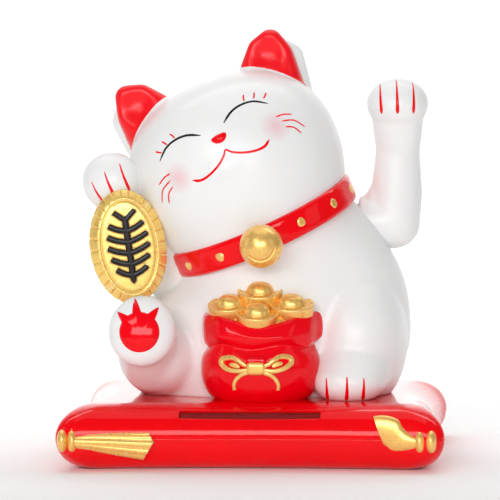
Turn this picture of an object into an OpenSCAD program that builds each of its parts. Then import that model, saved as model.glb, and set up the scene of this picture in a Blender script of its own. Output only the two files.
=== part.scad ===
// Solar-powered beckoning cat on a cushion base.
// Origin: centre of the cushion's underside. +Z up, the cat faces -Y. Millimetres.

/* [Overall] */
// Height of the cat, from the cushion's top to the ear tips
cat_h = 106.5; // [90:0.5:128]
// Width of the cushion, corner to corner
cushion_w = 110; // [96:1:132]
// Depth of the cushion, corner to corner
cushion_d = 88; // [86:1:106]
// Thickness of the cushion
cushion_h = 18.3; // [16:0.1:24]

/* [Shells] */
// Wall of the cat's head and body shells
cat_wall = 1.6; // [1.2:0.1:2.2]
// Wall of the cushion's two shells
cushion_wall = 1.8; // [1.4:0.1:2.4]
// Wall of the waving arm's two shells
arm_wall = 1.1; // [0.8:0.1:1.5]
// Gap left between glued pieces that follow a curved surface
glue_gap = 0.15; // [0.1:0.05:0.3]

/* [Collar and bell] */
// Height of the collar band
collar_band_h = 7.6; // [6:0.1:9.2]
// Thickness of the collar band at its middle
collar_thick = 3.2; // [2.4:0.1:4]
// Number of places round the collar, one of them the bell's
collar_places = 14; // [12:1:16]
// Radius of a collar stud
stud_r = 1.2; // [0.9:0.05:1.45]
// Radius of the bell
bell_r = 6.2; // [5:0.1:7.4]

/* [Solar window] */
// Width of the window opening
window_w = 40; // [34:0.5:48]
// Height of the window opening, measured along the cushion's curve
window_l = 3; // [2.4:0.1:3.8]
// Thickness of the solar cell
cell_t = 1.4; // [1:0.1:2]
// Thickness of the clear cover over the cell
cover_t = 1; // [0.8:0.1:1.4]

/* [Waving mechanism] */
// Radius of the round root of the waving arm
root_r = 7.8; // [6.6:0.1:8.4]
// Gap round the arm's root where it enters the body
root_gap = 0.6; // [0.5:0.05:1]
// Radius of the steel pivot pin
pin_r = 1; // [0.8:0.05:1.2]
// Radial clearance of the pin in its two bearing holes
pin_clearance = 0.05; // [0.02:0.01:0.09]
// Radius of the magnet
magnet_r = 5; // [4:0.1:6]
// Thickness of the magnet
magnet_t = 3; // [2:0.1:4]
// Air gap from the magnet down to the coil
magnet_gap = 1.2; // [0.9:0.1:1.6]
// Outer radius of the coil bobbin
coil_r = 6.5; // [5.4:0.1:7.5]
// Height of the coil bobbin
coil_h = 6; // [5:0.1:7.2]
// Height of the counterweight
weight_h = 8; // [6.6:0.1:9.6]
// Radius of the counterweight
weight_r = 5.5; // [4.6:0.1:6]

/* [Fasteners] */
// Radius of a base screw's thread
screw_r = 1.3; // [1:0.05:1.5]
// Radius of a base screw's head
screw_head_r = 2.6; // [2.2:0.1:3]

/* [Hidden] */

white = "#f2f1ef";
red = "#d5060e";
gold = "#e2ae45";
pale_gold = "#f0cd7c";
steel = "silver";

// ---- Facets of the moulded shapes, which are meshes
form_fn = 24;
cave_fn = 16;
toe_fn = 14;
ring_points = 36;
ring_steps = 12;

// ---- Derived places
deck_z = cushion_h;                 // top of the cushion, where the cat sits
sculpt_h = 106.5;                   // height at which the sculpted points below are given
fig = cat_h / sculpt_h;
function S(v) = [v.x * fig, v.y * fig, deck_z + v.z * fig];

// Neck joint: where head and body shells meet, under the collar
neck_c = S([1, 3, 49.2]);
neck_r = 26.6 * fig;
neck_roll = 23.2;
neck_pitch = 5.2;
head_rise = 18 * fig;               // head centre above the neck joint
head_side = 31.6 * fig;
head_depth = 28.5 * fig;
head_up = 27.4 * fig;
head_down = 33 * fig;
head_roll = 21;
head_square = 0.87;                 // below 1 the crown is squarer than an ellipse
head_parting = neck_c.y;

// Waving arm: its pivot axis runs along X
pivot_y = 10 * fig;
pivot_z = deck_z + 49.2 * fig;
root_in_x = 20.5 * fig;             // inner end of the arm's root
root_step_x = 29.4 * fig;           // where the root widens, just outside the collar
stub_r = 5.4;                       // radius of the root inside the body
elbow_x = 39.7 * fig;
forearm_x = 41 * fig;
parting_y = pivot_y;                // body shells part on the pivot axis

// Mechanism inside the body, stacked up from the deck
frame_plate_t = 2;
upright_t = 2.5;
bearing_r = 4;
coil_x = 7.5 * fig;
upright_gap = coil_r + 1;           // from the coil's centre to each upright
plate_top = deck_z + frame_plate_t;
coil_top = plate_top + coil_h;
magnet_z = coil_top + magnet_gap;
lever_t = 3;
lever_w = 5;
cup_t = 2.2;
lever_hub_r = 3.5;
pin_right_x = root_in_x + 7;
pin_left_x = coil_x - upright_gap - upright_t - 3;
clip_t = 1;
clip_r = pin_r + 1.3;

function rot_z(p, a) = [p.x * cos(a) - p.y * sin(a), p.x * sin(a) + p.y * cos(a), p.z];
function rot_y(p, a) = [p.x * cos(a) + p.z * sin(a), p.y, -p.x * sin(a) + p.z * cos(a)];
function rot_x(p, a) = [p.x, p.y * cos(a) - p.z * sin(a), p.y * sin(a) + p.z * cos(a)];
function mix(a, b, t) = a + (b - a) * t;
function signed_pow(v, e) = sign(v) * pow(abs(v), e);
function middle(ring) = [for (k = [0:2]) (min([for (p = ring) p[k]]) + max([for (p = ring) p[k]])) / 2];

// Smooth curve through rows of evenly spaced keys
function spline(keys, t) =
    let (n = len(keys) - 1, u = min(t, 0.99999) * n, i = floor(u), f = u - i,
        p0 = keys[max(i - 1, 0)], p1 = keys[i], p2 = keys[i + 1], p3 = keys[min(i + 2, n)])
    p1 + f * ((p2 - p0) / 2 + f * ((p0 - 2.5 * p1 + 2 * p2 - p3 / 2) + f * ((p3 - p0) / 2 + 1.5 * (p1 - p2))));

// Everything below it becomes one mesh
module moulded() resize([0, 0, 0]) children();

// Closed skin through rings that all have the same number of points, from the bottom up
module skin(rings) {
    n = len(rings[0]);
    m = len(rings);
    points = [for (r = rings) each r, middle(rings[0]), middle(rings[m - 1])];
    sides = [for (i = [0:m - 2], j = [0:n - 1])
        let (a = i * n + j, b = i * n + (j + 1) % n) each [[a, a + n, b + n], [a, b + n, b]]];
    low_cap = [for (j = [0:n - 1]) [m * n, j, (j + 1) % n]];
    top_cap = [for (j = [0:n - 1]) [m * n + 1, (m - 1) * n + (j + 1) % n, (m - 1) * n + j]];
    polyhedron(points, concat(sides, low_cap, top_cap));
}

module egg(c, r, turn = [0, 0, 0], fn = form_fn) translate(c) rotate(turn) scale(r) sphere(1, $fn = fn);

module on_neck() translate(neck_c) rotate([neck_pitch, -neck_roll, 0]) children();
module on_head() translate(head_c) rotate([0, -head_roll, 0]) children();
head_c = neck_c + rot_y(rot_x([0, 0, head_rise], neck_pitch), -neck_roll);

module half(front, y) translate([-100, front ? y - 200 : y, -50]) cube([200, 200, 300]);

// ================= Cushion base =================
side_dip = 0.085;                   // how far each side curves in, as a share of the half width
corner_round = 0.11;                // corner radius, as a share of the half width
side_points = 9;
corner_points = 4;
function plan_side(t) = let (x = (1 - corner_round) * t) [x, -1 + side_dip * (1 - x * x)];
function plan_corner(t) = let (c = 1 - corner_round, a = -90 + 90 * t)
    [c + corner_round * cos(a), -c + corner_round * sin(a)] + (1 - c * c) * side_dip * [t - 1, t];
function turned(p, k) = k == 0 ? p : turned([-p.y, p.x], k - 1);
plan_unit = [for (k = [0:3]) each concat(
    [for (i = [0:side_points - 1]) turned(plan_side(-1 + 2 * i / side_points), k)],
    [for (i = [0:corner_points - 1]) turned(plan_corner(i / corner_points), k)])];
plan_reach = max([for (p = plan_unit) p.x]);
side_share = (1 - side_dip) / plan_reach;
seam_z = cushion_h / 2;
top_inset = 11;
foot_inset = 8.5;
seam_gap = 0.2;                     // shadow line between the two shells

function cushion_ring(inset, z, shrink) = [for (p = plan_unit) let (u = p / plan_reach)
    [u.x * (cushion_w / 2 - shrink - inset), u.y * (cushion_d / 2 - shrink - inset), z]];

module cushion_upper(shrink) {
    low = seam_z;
    high = cushion_h - shrink;
    skin([for (v = [0:18:90]) cushion_ring(top_inset * (1 - cos(v)), low + (high - low) * sin(v), shrink)]);
}
module cushion_lower(shrink) {
    low = shrink;
    high = seam_z;
    skin([for (v = [90:-18:0]) cushion_ring(foot_inset * (1 - cos(v)), high - (high - low) * sin(v), shrink)]);
}
// The cushion's outer surface, for pieces that sit on it
module cushion_form(grow) {
    cushion_upper(-grow);
    cushion_lower(-grow);
}

// The window lies flush in the front curve: v runs from 0 at the seam to 90 at the deck
window_v = 44;
window_y = -(cushion_d / 2 - top_inset * (1 - cos(window_v))) * side_share;
window_z = seam_z + (cushion_h - seam_z) * sin(window_v);
window_tilt = atan2(cos(window_v) / (top_inset * side_share), sin(window_v) / (cushion_h - seam_z));
function window_point(x, y, z) = [x, window_y + y * cos(window_tilt) - z * sin(window_tilt),
    window_z + y * sin(window_tilt) + z * cos(window_tilt)];
ledge = 1.2;
well_wall = 1.2;
screw_x = cushion_w / 2 - 18;
screw_y = cushion_d / 2 - 17;
screw_head_t = 1.8;
screw_pilot = 0.9;                  // pilot hole as a share of the thread radius
screw_seat_z = screw_head_t + 0.6;
boss_r = screw_r + 1.7;
seat_boss_r = screw_head_r + 1.6;
boss_top = cushion_h - cushion_wall;
lead_hole_r = 2.5;
lead_hole_y = pivot_y - 12;

module at_base_screws() for (x = [-1, 1], y = [-1, 1]) translate([x * screw_x, y * screw_y, 0]) children();
module at_window() translate([0, window_y, window_z]) rotate([window_tilt, 0, 0]) children();

module base_top_shell() color(red) difference() {
    union() {
        moulded() difference() {
            cushion_upper(0);
            difference() {
                translate([0, 0, -0.01]) cushion_upper(cushion_wall);
                // Frame round the window, standing on the cell
                at_window() translate([-window_w / 2 - well_wall, -window_l / 2 - well_wall, -cell_t])
                    cube([window_w + 2 * well_wall, window_l + 2 * well_wall, 12]);
            }
            at_window() translate([-window_w / 2, -window_l / 2, -8]) cube([window_w, window_l, 20]);
            at_window() translate([-window_w / 2 - ledge - 0.1, -window_l / 2 - ledge - 0.1, -2 * cell_t - 0.1])
                cube([window_w + 2 * ledge + 0.2, window_l + 2 * ledge + 0.2, cell_t + 0.1]);
        }
        at_base_screws() translate([0, 0, seam_z + seam_gap]) cylinder(r = boss_r, h = boss_top - seam_z - seam_gap + 0.2, $fn = 48);
    }
    at_base_screws() cylinder(r = screw_r * screw_pilot, h = boss_top - 1.5, $fn = 48);
    at_frame_screws() translate([0, 0, cushion_h - 5]) cylinder(r = frame_screw_r, h = 10, $fn = 48);
    translate([coil_x, lead_hole_y, cushion_h - 5]) cylinder(r = lead_hole_r, h = 10, $fn = 48);
}

board_w = 34;
board_l = 22;
board_t = 1.2;
board_c = [-9, 4];
board_post_h = 3.2;
board_z = cushion_wall + board_post_h;
board_screw_r = 0.9;
module at_board_screws() for (k = [-1, 1]) translate([board_c.x + k * (board_w / 2 - 3), board_c.y + k * (board_l / 2 - 3), 0]) children();

module base_bottom_shell() color(red) difference() {
    union() {
        moulded() difference() {
            cushion_lower(0);
            translate([0, 0, 0.01]) cushion_lower(cushion_wall);
        }
        at_base_screws() translate([0, 0, cushion_wall - 0.2]) cylinder(r = seat_boss_r, h = seam_z - cushion_wall + 0.2, $fn = 48);
        at_board_screws() translate([0, 0, cushion_wall - 0.2]) cylinder(r = board_screw_r + 1.3, h = board_post_h + 0.2, $fn = 48);
    }
    at_base_screws() translate([0, 0, -1]) cylinder(r = screw_r + 0.2, h = cushion_h, $fn = 48);
    at_base_screws() translate([0, 0, -1]) cylinder(r = screw_head_r + 0.2, h = screw_seat_z + 1, $fn = 48);
    at_board_screws() translate([0, 0, cushion_wall]) cylinder(r = board_screw_r, h = cushion_h, $fn = 48);
}

// Pan-head screw pointing up, its seat at z = 0, with a cross recess
module screw(r, head_r, head_t, length) {
    cylinder(r = r, h = length, $fn = 48);
    translate([0, 0, -head_t]) difference() {
        cylinder(r = head_r, h = head_t, $fn = 48);
        for (a = [0, 90]) rotate(a) translate([-head_r * 0.6, -head_r * 0.12, -0.1])
            cube([head_r * 1.2, head_r * 0.24, head_t * 0.5 + 0.1]);
    }
}
module base_screws() color(steel) at_base_screws() translate([0, 0, screw_seat_z])
    screw(screw_r * screw_pilot, screw_head_r, screw_head_t, 9);

module solar_cell() color("#2a1618") at_window() translate([-window_w / 2 - ledge, -window_l / 2 - ledge, -2 * cell_t])
    cube([window_w + 2 * ledge, window_l + 2 * ledge, cell_t]);
module solar_cover() color("#5a2023") at_window() translate([-window_w / 2 + 0.1, -window_l / 2 + 0.1, -cell_t])
    cube([window_w - 0.2, window_l - 0.2, cover_t]);

// ================= Tassels =================
module tassel_form(length, rise) {
    // Two bead knots, then a skirt of strands that widens away from the corner
    for (x = [2.4, 6]) egg([x, 0, 0], [2.3, 2.6, 3.2], [0, 0, 0], 12);
    keys = [[7, 0, 1.9], [length * 0.4, rise * 0.05, 2.3], [length * 0.6, rise * 0.3, 2.8],
        [length * 0.8, rise * 0.62, 3.3], [length, rise, 3.7]];
    steps = 6;
    around = 18;
    skin([for (i = [0:steps]) let (k = spline(keys, i / steps))
        [for (j = [0:around - 1]) let (a = 360 * j / around, w = 1 + 0.08 * cos(6 * a))
            [k[0] + (i == steps ? 0.9 * sin(a) : 0), 2.1 * w * cos(a), k[1] + k[2] * w * sin(a)]]]);
}
tassel_x = cushion_w / 2 + 1.2;
tassel_y = cushion_d / 2 - 1;
module tassel(side, back, length, rise) color(gold) moulded() difference() {
    translate([side * tassel_x, (back ? 1 : -1) * tassel_y, seam_z - 0.5])
        scale([-side, back ? 1 : -1, 1]) rotate([0, 0, -4]) tassel_form(length, rise);
    cushion_form(glue_gap);
}
module tassel_front_left() tassel(-1, false, 29, -1.8);
module tassel_front_right() tassel(1, false, 21, 5);
module tassel_back_left() tassel(-1, true, 21, 5);
module tassel_back_right() tassel(1, true, 29, -1.8);

// ================= Solar circuit =================
board_top = board_z + board_t;
module circuit_board() color("#1d5c38") difference() {
    translate([board_c.x - board_w / 2, board_c.y - board_l / 2, board_z]) cube([board_w, board_l, board_t]);
    at_board_screws() translate([0, 0, board_z - 1]) cylinder(r = board_screw_r + 0.15, h = 4, $fn = 48);
}
module board_screws() color(steel) at_board_screws() translate([0, 0, board_top])
    mirror([0, 0, 1]) screw(board_screw_r, board_screw_r + 0.9, 1, board_t + board_post_h - 0.6);
module storage_capacitor() color("#27313f") translate([board_c.x + 8, board_c.y - 3, board_top])
    cylinder(r = 3.15, h = 7.5, $fn = 48);
module driver_chip() color("#17181a") translate([board_c.x - 3, board_c.y, board_top]) {
    translate([-2.5, -2, 0.3]) cube([5, 4, 1.5]);
    for (x = [-1.9, -0.63, 0.63, 1.9], y = [-1, 1]) translate([x - 0.2, y * 2.5 - 0.6, 0]) cube([0.4, 1.2, 0.5]);
}

// Round cord of radius r along a row of points
function heading(path, i) =
    let (d = path[min(i + 1, len(path) - 1)] - path[max(i - 1, 0)]) d / norm(d);
function cord_ring(path, i, r, n, side) =
    let (t = heading(path, i), u0 = cross(side, t), u = u0 / norm(u0), v = cross(t, u))
    [for (j = [0:n - 1]) path[i] + r * (cos(360 * j / n) * u + sin(360 * j / n) * v)];
module cord(path, r, n = 8, side = [0, 1, 0]) skin([for (i = [0:len(path) - 1]) cord_ring(path, i, r, n, side)]);
function curve(keys, steps) = [for (i = [0:steps]) spline(keys, i / steps)];

lead_r = 0.45;
module cell_leads() color("#b3261f") moulded() for (x = [-8, -5])
    cord(curve([window_point(x, 0.4, -2 * cell_t - 0.12), window_point(x, 0.4, -2 * cell_t - 3),
        [x, -20, board_top + 2.2], [x - 1, board_c.y - board_l / 2 - 1, board_top + 1.1],
        [x - 1, board_c.y - board_l / 2 + 2, board_top + lead_r]], 10), lead_r, 6, [1, 0, 0]);
module coil_leads() color("#b87333") moulded() for (x = [-0.7, 0.7])
    cord(curve([[coil_x + x, pivot_y - coil_r - 0.6, plate_top + 0.9], [coil_x + x, lead_hole_y + 2.4, plate_top + 0.7],
        [coil_x + x, lead_hole_y, deck_z - 2], [coil_x + x - 1, lead_hole_y + 0.4, deck_z - 7],
        [coil_x + x - 3, lead_hole_y + 0.6, board_top + lead_r + 0.1]], 12), lead_r * 0.6, 6, [1, 0, 0]);

// ================= Waving mechanism =================
frame_screw_r = 1;
frame_screw_x = upright_gap + upright_t + 3.4;
plate_half_l = 7;
bore_r = pin_r + pin_clearance;
module at_frame_screws() for (k = [-1, 1]) translate([coil_x + k * frame_screw_x, pivot_y, 0]) children();
module upright() rotate([90, 0, 90]) linear_extrude(upright_t) union() {
    polygon([[-plate_half_l, 0], [plate_half_l, 0], [plate_half_l, 2], [bearing_r * 0.94, pivot_z - deck_z],
        [-bearing_r * 0.94, pivot_z - deck_z], [-plate_half_l, 2]]);
    translate([0, pivot_z - deck_z]) circle(bearing_r, $fn = 64);
}
module pivot_frame() color("#e9e7e0") difference() {
    union() {
        translate([coil_x - frame_screw_x - 2.6, pivot_y - plate_half_l, deck_z])
            cube([2 * frame_screw_x + 5.2, 2 * plate_half_l, frame_plate_t]);
        for (x = [coil_x - upright_gap - upright_t, coil_x + upright_gap]) translate([x, pivot_y, deck_z]) upright();
    }
    translate([-40, pivot_y, pivot_z]) rotate([0, 90, 0]) cylinder(r = bore_r, h = 80, $fn = 96);
    at_frame_screws() translate([0, 0, deck_z - 1]) cylinder(r = frame_screw_r + 0.15, h = 5, $fn = 48);
}
module frame_screws() color(steel) at_frame_screws() translate([0, 0, plate_top])
    mirror([0, 0, 1]) screw(frame_screw_r, frame_screw_r + 1, 1, frame_plate_t + cushion_wall - 0.2);

flange_t = 0.8;
core_r = 2.2;
module coil_bobbin() color("#e8e4d8") translate([coil_x, pivot_y, plate_top]) difference() {
    union() {
        cylinder(r = coil_r, h = flange_t, $fn = 64);
        translate([0, 0, coil_h - flange_t]) cylinder(r = coil_r, h = flange_t, $fn = 64);
        cylinder(r = core_r, h = coil_h, $fn = 64);
    }
    translate([0, 0, -1]) cylinder(r = core_r - 0.8, h = coil_h + 2, $fn = 64);
}
module coil_winding() color("#b5652b") translate([coil_x, pivot_y, plate_top + flange_t]) difference() {
    cylinder(r = coil_r - 0.5, h = coil_h - 2 * flange_t, $fn = 64);
    translate([0, 0, -1]) cylinder(r = core_r, h = coil_h + 2, $fn = 64);
}

module along_pivot(x) translate([x, pivot_y, pivot_z]) rotate([0, 90, 0]) children();
module pivot_pin() color(steel) along_pivot(pin_left_x) cylinder(r = pin_r, h = pin_right_x - pin_left_x, $fn = 96);
module pin_clip() color("#3c4044") along_pivot(pin_left_x + 0.8) difference() {
    cylinder(r = clip_r, h = clip_t, $fn = 64);
    translate([0, 0, -1]) cylinder(r = pin_r, h = clip_t + 2, $fn = 96);
}
magnet_top = magnet_z + magnet_t;
weight_z = magnet_top + cup_t;
module swing_lever() color("#e9e7e0") difference() {
    union() {
        along_pivot(coil_x - lever_t / 2) cylinder(r = lever_hub_r, h = lever_t, $fn = 64);
        translate([coil_x - lever_t / 2, pivot_y - lever_w / 2, magnet_top]) cube([lever_t, lever_w, pivot_z - magnet_top]);
        translate([coil_x, pivot_y, magnet_top]) cylinder(r = magnet_r, h = cup_t, $fn = 64);
    }
    along_pivot(coil_x - lever_t) cylinder(r = pin_r, h = 2 * lever_t, $fn = 96);
}
module counterweight() color("#8d9299") difference() {
    translate([coil_x, pivot_y, weight_z]) cylinder(r = weight_r, h = weight_h, $fn = 64);
    translate([coil_x - lever_t / 2, pivot_y - lever_w / 2, weight_z - 1]) cube([lever_t, lever_w, weight_h + 2]);
}
module magnet() color("#b9bcc0") translate([coil_x, pivot_y, magnet_z]) cylinder(r = magnet_r, h = magnet_t, $fn = 64);

// ================= Waving arm =================
hub_len = pin_right_x - root_in_x + 1;
hub_r = (stub_r - arm_wall) * cos(180 / cave_fn) - 0.03;    // fits inside the faceted bore of the root
module arm_hub() color("#e9e7e0") along_pivot(root_in_x - 0.6) difference() {
    cylinder(r = hub_r, h = hub_len + 0.6, $fn = 64);
    translate([0, 0, -1]) cylinder(r = pin_r, h = pin_right_x - root_in_x + 1.6, $fn = 96);
}
paw_c = S([41, 6.6, 84.2]);
module arm_form(shrink) {
    fn = shrink > 0 ? cave_fn : form_fn;
    less = [1, 1, 1] * shrink;
    elbow = [elbow_x, pivot_y, pivot_z];
    upper = S([41, 10, 58]);
    wrist = S([41, 9.6, 70.5]);
    along_pivot(root_step_x + shrink) cylinder(r = root_r - shrink, h = elbow_x - root_step_x, $fn = fn);
    hull() {
        egg(elbow, [1, 1, 1] * root_r - less, [0, 90, 0], fn);
        egg(upper, [7.2, 7.2, 7.2] * fig - less, [0, 0, 0], fn);
        egg(wrist, [6.5, 6.5, 6.5] * fig - less, [0, 0, 0], fn);
    }
    hull() {
        egg(wrist, [6.5, 6.5, 6.5] * fig - less, [0, 0, 0], fn);
        egg(paw_c, [8.2, 7.6, 6.8] * fig - less, [14, 0, 0], fn);
    }
    egg(paw_c, [9.1, 8.6, 7.6] * fig - less, [14, 0, 0], fn);
}
module arm_stub(shrink) along_pivot(root_in_x) cylinder(r = stub_r - shrink, h = root_step_x - root_in_x + 2 * arm_wall, $fn = cave_fn);
module arm_shell(front) color(white) moulded() difference() {
    union() {
        arm_form(0);
        arm_stub(0);
    }
    arm_form(arm_wall);
    translate([-1, 0, 0]) arm_stub(arm_wall);
    half(!front, pivot_y);
}
module arm_shell_front() arm_shell(true);
module arm_shell_back() arm_shell(false);

// ================= Cat body =================
// Rows: centre x, centre y, centre height, half width, half depth, share of the neck's tilt
body_keys = [
    [1.4, 4.5, -2, 34.8, 24, 0],
    [1.4, 4.5, 9, 41.6, 26, 0],
    [1.6, 4.5, 19, 43.2, 26.2, 0],
    [2.4, 4.4, 28.5, 40.8, 25.8, 0.25],
    [2.9, 4, 36.5, 35, 25, 0.6],
    [2.2, 3.4, 43.5, 29.4, 25, 0.9],
    [1, 3, 49.2, 26.6, 26.6, 1],
];
neck_up = rot_y(rot_x([0, 0, 1], neck_pitch), -neck_roll);
function body_ring(t, shrink, lift = 0) = let (k = spline(body_keys, t), c = S([k[0], k[1], k[2]]),
        w = k[3] * fig - shrink, d = k[4] * fig - shrink)
    [for (j = [0:ring_points - 1]) let (a = 360 * j / ring_points)
        c + lift * neck_up + rot_y(rot_x([w * cos(a), d * sin(a), 0], neck_pitch * k[5]), -neck_roll * k[5])];
module torso(shrink) skin(concat([for (i = [0:ring_steps - (shrink > 0 ? 1 : 0)]) body_ring(i / ring_steps, shrink)],
    shrink > 0 ? [] : [body_ring(1, shrink, 2)]));
module body_lumps(shrink) {
    fn = shrink > 0 ? cave_fn : form_fn;
    less = [1, 1, 1] * shrink;
    // Viewer's left: bent thigh, shin and the foot whose sole faces out
    egg(S([-27, -4, 12]), [14, 20, 13.5] * fig - less, [0, 0, 0], fn);
    hull() {
        egg(S([-30, -14, 10.5]), [9, 9, 9.6] * fig - less, [0, 0, 0], fn);
        egg(S([-31.2, -26, 18.6]), [8.6, 6, 8.8] * fig - less, [0, 0, 0], fn);
    }
    // Viewer's right: thigh running down to the foot
    egg(S([29.2, -3, 15.5]), [14.8, 20, 21] * fig - less, [0, 0, 0], fn);
    hull() {
        egg(S([28.4, -9, 10]), [12.6, 12.6, 12.4] * fig - less, [0, 0, 0], fn);
        egg(S([27.4, -20.4, 4.8]), [10.4, 9.9, 6.6] * fig - less, [0, 0, 0], fn);
    }
    if (shrink <= 0) egg(S([-31.2, -28.6, 20.2]), [9.9, 5.4, 10.4] * fig, [-12, 0, 0]);
}
module neck_band(r, h) on_neck() difference() {
    cylinder(r = neck_r + 6, h = h, center = true, $fn = 24);
    cylinder(r = r, h = h + 2, center = true, $fn = ring_points);
}
module below(z) translate([-100, -100, z - 60]) cube([200, 200, 60]);
module above_neck() on_neck() cylinder(r = neck_r + 8, h = 30, $fn = 24);
module body_form(shrink) {
    torso(shrink);
    body_lumps(shrink);
}
groove_r = neck_r - 0.6;
groove_h = collar_band_h + 0.2;
module root_hole() {
    along_pivot(root_step_x - root_gap) cylinder(r = root_r + root_gap, h = 40, $fn = 48);
    along_pivot(0) cylinder(r = stub_r + root_gap, h = 60, $fn = 48);
}
module body_shell(front) color(white) moulded() difference() {
    body_form(0);
    difference() {
        union() {
            body_form(cat_wall);
            on_neck() cylinder(r = neck_r - cat_wall - 0.2, h = 12, center = true, $fn = ring_points);
        }
        neck_band(groove_r - cat_wall, groove_h + 2 * cat_wall);
    }
    below(deck_z);
    above_neck();
    neck_band(groove_r, groove_h);
    root_hole();
    half(!front, parting_y);
}
module body_shell_front() body_shell(true);
module body_shell_back() body_shell(false);

// ================= Cat head =================
head_keep = 46.7;                   // lower half depth profile, fuller than the width's
function head_ring(v, shrink) =
    let (up = v >= 0,
        z = up ? (head_up - shrink) * pow(sin(v), head_square) : -(head_down - shrink) * sin(-v),
        w = up ? (head_side - shrink) * pow(cos(v), head_square) : (head_side - shrink) * cos(v),
        d = up ? (head_depth - shrink) * pow(cos(v), head_square)
            : (head_depth - shrink) * sqrt(max(0.02, 1 - pow(z / (head_keep * fig - shrink), 2))))
    [for (j = [0:ring_points - 1]) let (a = 360 * j / ring_points)
        head_c + rot_y([w * cos(a), d * sin(a), z], -head_roll)];
module skull(shrink) skin([for (v = [-60, -50, -40, -30, -20, -10, 0, 10, 20, 30, 40, 50, 60, 69, 77, 84, 89]) head_ring(v, shrink)]);
module ear(side) on_head() hull() {
    egg([side * 18.3, 1, 17] * fig, [9.4, 7, 9] * fig);
    egg([side * 13.6, 0.4, 24.3] * fig, [4, 4.4, 4] * fig, [0, 0, 0], toe_fn);
    egg([side * 22.4, -0.2, 30.3] * fig, [4.4, 3.6, 4.4] * fig, [0, 0, 0], toe_fn);
}
module head_form() difference() {
    union() {
        skull(0);
        ear(-1);
        ear(1);
        // Muzzle
        on_head() egg([-1, -21.5, 1] * fig, [13, 7.4, 9] * fig);
    }
    on_neck() translate([-100, -100, -100]) cube([200, 200, 100]);
}
module head_shell(front) color(white) moulded() difference() {
    head_form();
    difference() {
        skull(cat_wall);
        neck_band(groove_r - cat_wall, groove_h + 2 * cat_wall);
    }
    neck_band(groove_r, groove_h);
    half(!front, head_parting);
}
module head_shell_front() head_shell(true);
module head_shell_back() head_shell(false);

// ================= Collar, studs and bell =================
collar_in = groove_r + 0.1;
collar_out = collar_in + collar_thick;
collar_corner = 1.2;
module collar_profile() {
    h = collar_band_h / 2;
    translate([collar_in, -h]) square([collar_thick - collar_corner, 2 * h]);
    translate([collar_in, -h + collar_corner]) square([collar_thick, 2 * (h - collar_corner)]);
    for (k = [-1, 1]) translate([collar_out - collar_corner, k * (h - collar_corner)]) circle(collar_corner, $fn = 48);
}
module at_collar(n, z = 0) on_neck() rotate(-90 + n * 360 / collar_places) translate([0, 0, z]) rotate([0, 90, 0]) children();
stud_sink = 0.8;
module collar() color(red) difference() {
    on_neck() rotate_extrude($fn = 144) collar_profile();
    for (n = [1:collar_places - 1]) at_collar(n) translate([0, 0, collar_out - stud_sink])
        cylinder(r = stud_r + 0.05, h = 3, $fn = 48);
    at_collar(0, bell_drop) cylinder(r = bell_peg_r + 0.05, h = 60, $fn = 48);
}
module collar_studs() color(gold) for (n = [1:collar_places - 1])
    at_collar(n) translate([0, 0, collar_out - stud_sink]) cylinder(r = stud_r, h = stud_sink + 0.25, $fn = 48);
bell_drop = -2.2;
bell_peg_r = 1.5;
bell_out = collar_out + bell_r * 0.62;
module collar_bell() color(gold) difference() {
    union() {
        at_collar(0, bell_drop) translate([0, 0, bell_out]) sphere(bell_r, $fn = 64);
        at_collar(0, bell_drop) translate([0, 0, collar_in + 0.4]) cylinder(r = bell_peg_r, h = bell_out - collar_in, $fn = 48);
    }
    // Shallow crease round the bell, just under its middle
    at_collar(0, bell_drop) translate([0, 0, bell_out]) rotate([0, 90, 0])
        translate([0, 0, bell_r * 0.22]) rotate_extrude($fn = 96) translate([bell_r * 0.975, 0]) circle(0.35, $fn = 24);
    on_neck() difference() {
        cylinder(r = collar_out + 0.05, h = 2 * collar_band_h, center = true, $fn = 144);
        rotate(-90) translate([0, 0, bell_drop]) rotate([0, 90, 0]) cylinder(r = bell_peg_r, h = 60, $fn = 48);
    }
}

// ================= Coin arm and koban =================
module coin_arm_form(shrink) {
    fn = shrink > 0 ? cave_fn : form_fn;
    less = [1, 1, 1] * shrink;
    shoulder = S([-23.5, 2.5, 36.5]);
    wrist = S([-38, -3.5, 54]);
    paw = S([-41.8, -8.6, 62.2]);
    hull() {
        egg(shoulder, [10.5, 11, 11.5] * fig - less, [0, 0, 0], fn);
        egg(wrist, [7.6, 8.4, 8] * fig - less, [0, 0, 0], fn);
    }
    hull() {
        egg(wrist, [7.6, 8.4, 8] * fig - less, [0, 0, 0], fn);
        egg(paw, [8.2, 8, 7.6] * fig - less, [0, 0, 0], fn);
    }
    egg(paw, [8.8, 9, 8.6] * fig - less, [0, 20, 0], fn);
}
module coin_arm(front) color(white) moulded() difference() {
    coin_arm_form(0);
    coin_arm_form(cat_wall);
    torso(-glue_gap);
    skull(-glue_gap);
    on_neck() cylinder(r = collar_out + glue_gap, h = collar_band_h + 2 * glue_gap, center = true, $fn = 72);
    at_koban() linear_extrude(koban_t + 2 * glue_gap, center = true) koban_plan(glue_gap);
    half(!front, S([0, -3, 0]).y);
}
module coin_arm_front() coin_arm(true);
module coin_arm_back() coin_arm(false);

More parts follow.
